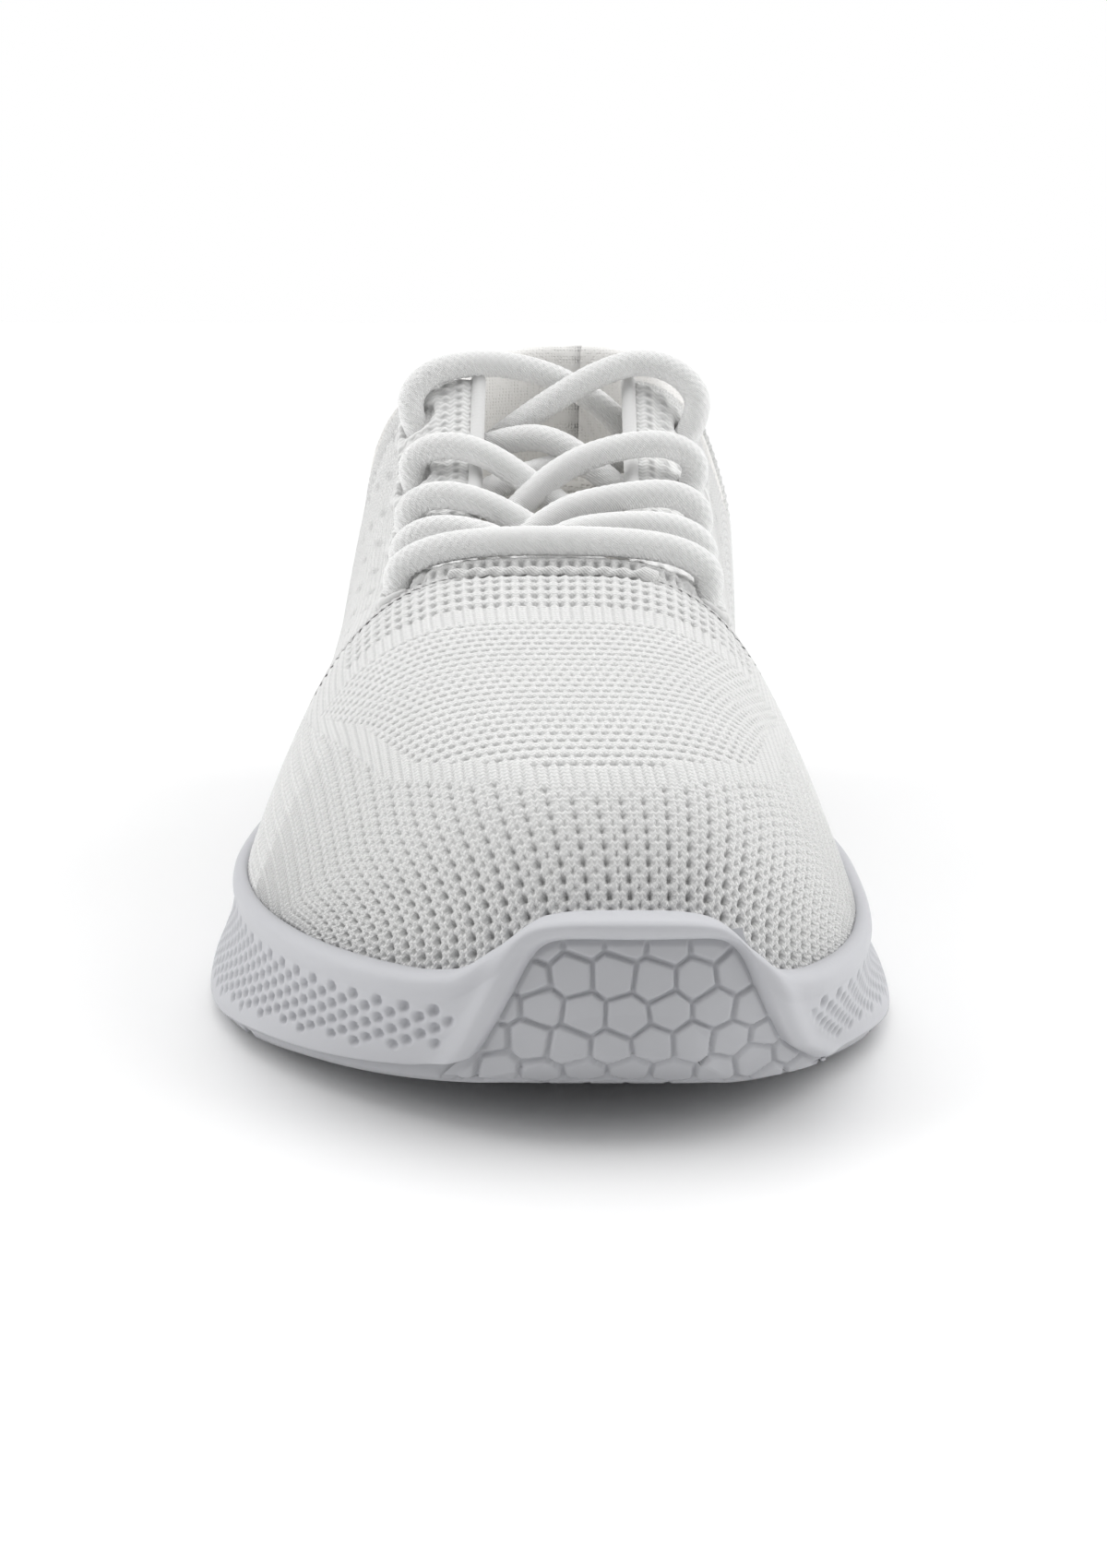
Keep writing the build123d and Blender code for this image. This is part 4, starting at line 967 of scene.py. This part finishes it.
# ---- tongue: one padded piece, hinged at its sewn end ---------------------------------
TONGUE_STATIONS = (92, 99, 107, 115, 125, 140, 155, 170)
TONGUE_HEIGHTS = (60.5, 59.3, 56.8, 56.0, 57.5, 63.0, 70.5, 79.0)
TONGUE_HALF_WIDTHS = (12.5, 14.0, 16.0, 18.0, 19.5, 20.5, 20.5, 17.0)
TONGUE_CROWN = 4.5
TONGUE_THICKNESS = 6.0
TONGUE_FIRST, TONGUE_LAST, TONGUE_TIP = 92.3, 169.7, 169.9

tongue_station = np.linspace(TONGUE_FIRST, TONGUE_LAST, 200)[:, None]
tongue_turn = np.linspace(0, 2 * np.pi, 120, endpoint=False)[None, :]
tongue_side = signed_power(np.cos(tongue_turn), 0.7)
to_tip = TONGUE_TIP - tongue_station
tongue_half = ((along(TONGUE_STATIONS, TONGUE_HALF_WIDTHS, tongue_station) - 0.4)
               * (0.55 + 0.45 * np.clip(to_tip / 6, 0, 1) ** 0.25))
tongue_depth = TONGUE_THICKNESS / 2 * (0.35 + 0.65 * ramp(to_tip / 5))
tongue_height = (along(TONGUE_STATIONS, TONGUE_HEIGHTS, tongue_station) - TONGUE_THICKNESS / 2
                 - TONGUE_CROWN * tongue_side ** 2
                 + tongue_depth * signed_power(np.sin(tongue_turn), 0.8))
tongue_points = points_at(THROAT_CENTRE + tongue_half * tongue_side, tongue_station, tongue_height)
tongue = grid_piece("padded_tongue", tongue_points, body="tongue", slot="lining_mesh",
                    close_cols=True, caps=True)
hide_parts("tongue_knit", "tongue_foam", "tongue_lining")


# ---- materials ----------------------------------------------------------------------
KNIT_WHITE, KNIT_SHADOW = (0.88, 0.88, 0.872), (0.27, 0.27, 0.27)
SOLE_WHITE, SOLE_SHADOW = (0.54, 0.545, 0.57), (0.27, 0.275, 0.30)
LINING_WHITE, LINING_SHADOW = (0.78, 0.765, 0.73), (0.42, 0.40, 0.36)
STRAND_DIRECTION = (1.0, 0.7, 1.2)


class Nodes:
    """Small helper for building one material's node tree."""

    def __init__(self, name, color, roughness, **sockets):
        self.material = bpy.data.materials.new(name)
        self.material.use_nodes = True
        self.tree = self.material.node_tree
        self.shader = self.tree.nodes["Principled BSDF"]
        self.shader.inputs["Base Color"].default_value = (*color, 1)
        self.shader.inputs["Roughness"].default_value = roughness
        for socket, value in sockets.items():
            self.shader.inputs[socket.replace("_", " ")].default_value = value

    def add(self, kind, **inputs):
        node = self.tree.nodes.new(kind)
        for name, value in inputs.items():
            self.link(value, node.inputs[name.replace("_", " ")])
        return node

    def link(self, value, socket):
        if isinstance(value, bpy.types.NodeSocket):
            self.tree.links.new(value, socket)
        else:
            socket.default_value = value

    def math(self, operation, *values, clamp=False):
        node = self.tree.nodes.new("ShaderNodeMath")
        node.operation = operation
        node.use_clamp = clamp
        for value, socket in zip(values, node.inputs):
            self.link(value, socket)
        return node.outputs[0]

    def mix(self, share, low, high):
        node = self.tree.nodes.new("ShaderNodeMix")
        node.data_type = "RGBA"
        colour_low, colour_high = (s for s in node.inputs if s.type == "RGBA")
        self.link(share, node.inputs["Factor"])
        for value, socket in ((low, colour_low), (high, colour_high)):
            self.link(value if isinstance(value, bpy.types.NodeSocket) else (*value, 1), socket)
        return next(s for s in node.outputs if s.type == "RGBA")

    def place(self):
        return self.add("ShaderNodeTexCoord").outputs["Object"]

    def noise(self, scale, detail=3.0):
        return self.add("ShaderNodeTexNoise", Scale=scale, Detail=detail, Vector=self.place()).outputs[0]

    def mark(self, name):
        node = self.tree.nodes.new("ShaderNodeAttribute")
        node.attribute_name = name
        return node.outputs["Fac"]

    def color(self, value):
        self.link(value, self.shader.inputs["Base Color"])

    def bump(self, height, distance, strength=1.0):
        node = self.add("ShaderNodeBump", Strength=strength, Distance=distance, Height=height)
        self.link(node.outputs[0], self.shader.inputs["Normal"])


def stitches(nodes, wales, courses, lean):
    """Rows of V stitches in a pattern map: height from 0 to 1."""
    split = nodes.add("ShaderNodeSeparateXYZ", Vector=nodes.add("ShaderNodeUVMap").outputs[0])
    wale = nodes.math("MULTIPLY", split.outputs[0], wales)
    side = nodes.math("ABSOLUTE", nodes.math("SUBTRACT", nodes.math("FRACT", wale), 0.5))
    course = nodes.math("MULTIPLY", split.outputs[1], courses)
    phase = nodes.math("ADD", course, nodes.math("MULTIPLY", side, lean))
    loop = nodes.math("SINE", nodes.math("MULTIPLY", phase, 2 * math.pi))
    turn = nodes.math("MULTIPLY", wale, 2 * math.pi)
    dip = nodes.math("MULTIPLY", nodes.math("COSINE", turn), -0.5)
    return nodes.math("MULTIPLY_ADD", nodes.math("ADD", loop, dip), 0.33, 0.5)


def knit_material(name, wales, courses):
    """Knitted yarn: V stitches with painted shade in their grooves, painted shade down its holes, uneven
    and slightly fuzzy.
    """
    color, hollow_shade = KNIT_WHITE, KNIT_SHADOW
    nodes = Nodes(name, color, 0.85, Sheen_Weight=0.25, Sheen_Roughness=0.5, Specular_IOR_Level=0.25)
    height = stitches(nodes, wales, courses, 1.1)
    # painted shade in the grooves between stitches
    shade = nodes.math("MULTIPLY", nodes.math("SUBTRACT", 1.0, height), 0.28, clamp=True)
    uneven = nodes.mix(nodes.noise(60.0), tuple(0.94 * c for c in color), color)
    stitch_shaded = nodes.mix(shade, uneven, hollow_shade)
    # painted shade down the holes, from the pit mark
    nodes.color(nodes.mix(nodes.math("MULTIPLY", nodes.mark("pit"), 0.85), stitch_shaded, hollow_shade))
    fuzz = nodes.noise(2600.0, 2.0)
    nodes.bump(nodes.math("MULTIPLY_ADD", fuzz, 0.35, height), 0.16 * MM)
    return nodes.material


def moulded_material(name, color, hollow_shade, roughness, grain):
    """Moulded foam or rubber: fine matt grain, faint blotches, painted shade in its hollows."""
    nodes = Nodes(name, color, roughness, Specular_IOR_Level=0.4)
    blotch = nodes.mix(nodes.noise(35.0, 4.0), tuple(0.955 * c for c in color), color)
    nodes.color(nodes.mix(nodes.math("MULTIPLY", nodes.mark("pit"), 0.35), blotch, hollow_shade))
    rough = nodes.math("MULTIPLY_ADD", nodes.noise(180.0), 0.16, roughness - 0.08)
    nodes.link(rough, nodes.shader.inputs["Roughness"])
    nodes.bump(nodes.noise(grain), 0.05 * MM, 0.5)
    return nodes.material


def cloth_material(name, color, hollow_shade, cell, relief):
    """Fine woven or meshed cloth in the object's own space, with painted shade in its holes."""
    nodes = Nodes(name, color, 0.9, Sheen_Weight=0.3, Sheen_Roughness=0.5, Specular_IOR_Level=0.2)
    cells = nodes.add("ShaderNodeTexVoronoi", Scale=1 / (cell * MM), Randomness=0.25,
                      Vector=nodes.place())
    spread = nodes.math("MULTIPLY", cells.outputs["Distance"], 2.2)
    hole = nodes.math("SUBTRACT", 1.0, spread, clamp=True)
    uneven = nodes.mix(nodes.noise(40.0), tuple(0.93 * c for c in color), color)
    nodes.color(nodes.mix(nodes.math("MULTIPLY", hole, 0.4), uneven, hollow_shade))
    nodes.bump(nodes.math("SUBTRACT", 1.0, hole), relief * MM)
    return nodes.material


def thread_material(name, color, hollow_shade, pitch, relief):
    """Close diagonal strands, as on braid, thread and binding, with painted shade between the strands.
    """
    nodes = Nodes(name, color, 0.8, Sheen_Weight=0.2, Sheen_Roughness=0.5, Specular_IOR_Level=0.3)
    turned = nodes.add("ShaderNodeVectorMath")
    turned.operation = "DOT_PRODUCT"
    nodes.link(nodes.place(), turned.inputs[0])
    turned.inputs[1].default_value = STRAND_DIRECTION
    phase = nodes.math("MULTIPLY", turned.outputs["Value"], 2 * math.pi / (pitch * MM))
    strand = nodes.math("SINE", phase)
    height = nodes.math("MULTIPLY_ADD", strand, 0.5, 0.5)
    shade = nodes.math("MULTIPLY", nodes.math("SUBTRACT", 1.0, height), 0.16)
    uneven = nodes.mix(nodes.noise(90.0), tuple(0.95 * c for c in color), color)
    nodes.color(nodes.mix(shade, uneven, hollow_shade))
    nodes.bump(nodes.math("MULTIPLY_ADD", nodes.noise(2400.0, 2.0), 0.5, height), relief * MM)
    return nodes.material


WOVEN = {  # colour, painted shade colour of the holes, size of a cell in millimetres, relief
    "lining_mesh": (LINING_WHITE, LINING_SHADOW, 1.1, 0.3),
    "collar_cloth": ((0.9, 0.89, 0.87), (0.68, 0.67, 0.65), 0.7, 0.15),
    "padding_foam": ((0.75, 0.72, 0.62), (0.5, 0.47, 0.4), 0.5, 0.1),
    "stiffener_sheet": ((0.72, 0.72, 0.71), (0.55, 0.55, 0.54), 0.9, 0.1),
    "board_felt": ((0.70, 0.69, 0.66), (0.5, 0.49, 0.46), 0.6, 0.12),
}
MOULDED = {  # colour, painted shade colour of the hollows, roughness, scale of the grain
    "midsole_foam": (SOLE_WHITE, SOLE_SHADOW, 0.5, 1500.0),
    # painted shade: the rubber is the same white as the foam, painted darker for its shaded,
    # front-facing toe panel
    "outsole_rubber": ((0.46, 0.465, 0.487), SOLE_SHADOW, 0.42, 900.0),
    "aglet_plastic": ((0.8, 0.8, 0.8), (0.6, 0.6, 0.6), 0.25, 700.0),
}
STRANDED = {  # colour, painted shade colour between the strands, their pitch and relief in millimetres
    "seam_thread": (KNIT_WHITE, KNIT_SHADOW, 0.7, 0.12),
    "lace_braid": ((0.96, 0.96, 0.955), (0.74, 0.74, 0.74), 0.55, 0.08),
}
finishes = {"knit_yarn": knit_material("knit_yarn", 4.0, 3.0),
            "rib_yarn": knit_material("rib_yarn", 1.0, 2.0)}
for table, make in ((WOVEN, cloth_material), (MOULDED, moulded_material), (STRANDED, thread_material)):
    for slot, facts in table.items():
        finishes[slot] = make(slot, *facts)

for subpart in frame["record"]["subparts"]:
    node = frame["nodes"].get(subpart["node"])
    if node:
        node.data.materials.clear()
        node.data.materials.append(finishes[subpart["material_slot"]])
for piece in bpy.context.scene.collection.objects:
    if piece.type == "MESH" and piece.get("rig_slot"):
        piece.data.materials.append(finishes[piece["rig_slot"]])

# ---- floor, light and background ------------------------------------------------------
FLOOR_SIZE = 8.0
floor_corners = [(FLOOR_SIZE / 2 * x, FLOOR_SIZE / 2 * y, 0)
                 for x, y in ((-1, -1), (1, -1), (1, 1), (-1, 1))]
floor_mesh = bpy.data.meshes.new("floor")
floor_mesh.from_pydata(floor_corners, [], [(0, 1, 2, 3)])
floor = bpy.data.objects.new("floor", floor_mesh)
bpy.context.scene.collection.objects.link(floor)
floor_look = Nodes("floor_paint", (0.93, 0.93, 0.93), 0.35, Specular_IOR_Level=0.5)
floor_look.color(floor_look.mix(floor_look.noise(3.0), (0.92, 0.92, 0.92), (0.94, 0.94, 0.94)))
floor_mesh.materials.append(floor_look.material)


def sun(name, energy, spread, tilt):
    """Wide soft light from one direction, given its spread and tilt in degrees."""
    data = bpy.data.lights.new(name, "SUN")
    data.energy = energy
    data.angle = math.radians(spread)
    light = bpy.data.objects.new(name, data)
    light.rotation_euler = [math.radians(angle) for angle in (*tilt, 0)]
    bpy.context.scene.collection.objects.link(light)


sun("softbox_above", 1.55, 85, (-14, 4))
sun("softbox_left", 1.2, 60, (0, -62))
sun("softbox_right", 1.2, 60, (0, 62))

world = bpy.data.worlds.new("studio")
world.use_nodes = True
tree = world.node_tree
backdrop = tree.nodes["Background"]
backdrop.inputs["Color"].default_value = (1, 1, 1, 1)
backdrop.inputs["Strength"].default_value = 1.0
ambient = tree.nodes.new("ShaderNodeBackground")
ambient.inputs["Color"].default_value = (1, 1, 1, 1)
direction = tree.nodes.new("ShaderNodeTexCoord")
split = tree.nodes.new("ShaderNodeSeparateXYZ")
shade = tree.nodes.new("ShaderNodeMapRange")  # the studio is darker in front of the shoe than behind
for socket, value in (("From Min", -1.0), ("From Max", 0.2), ("To Min", 0.2), ("To Max", 0.58)):
    shade.inputs[socket].default_value = value
choose = tree.nodes.new("ShaderNodeMixShader")  # a white backdrop is seen, the ambient light lights
rays = tree.nodes.new("ShaderNodeLightPath")
for source, target in (
        (direction.outputs["Generated"], split.inputs[0]),
        (split.outputs["Y"], shade.inputs["Value"]),
        (shade.outputs["Result"], ambient.inputs["Strength"]),
        (rays.outputs["Is Camera Ray"], choose.inputs[0]),
        (ambient.outputs[0], choose.inputs[1]),
        (backdrop.outputs[0], choose.inputs[2]),
        (choose.outputs[0], tree.nodes["World Output"].inputs["Surface"])):
    tree.links.new(source, target)
bpy.context.scene.world = world
bpy.context.scene.view_settings.view_transform = "Standard"
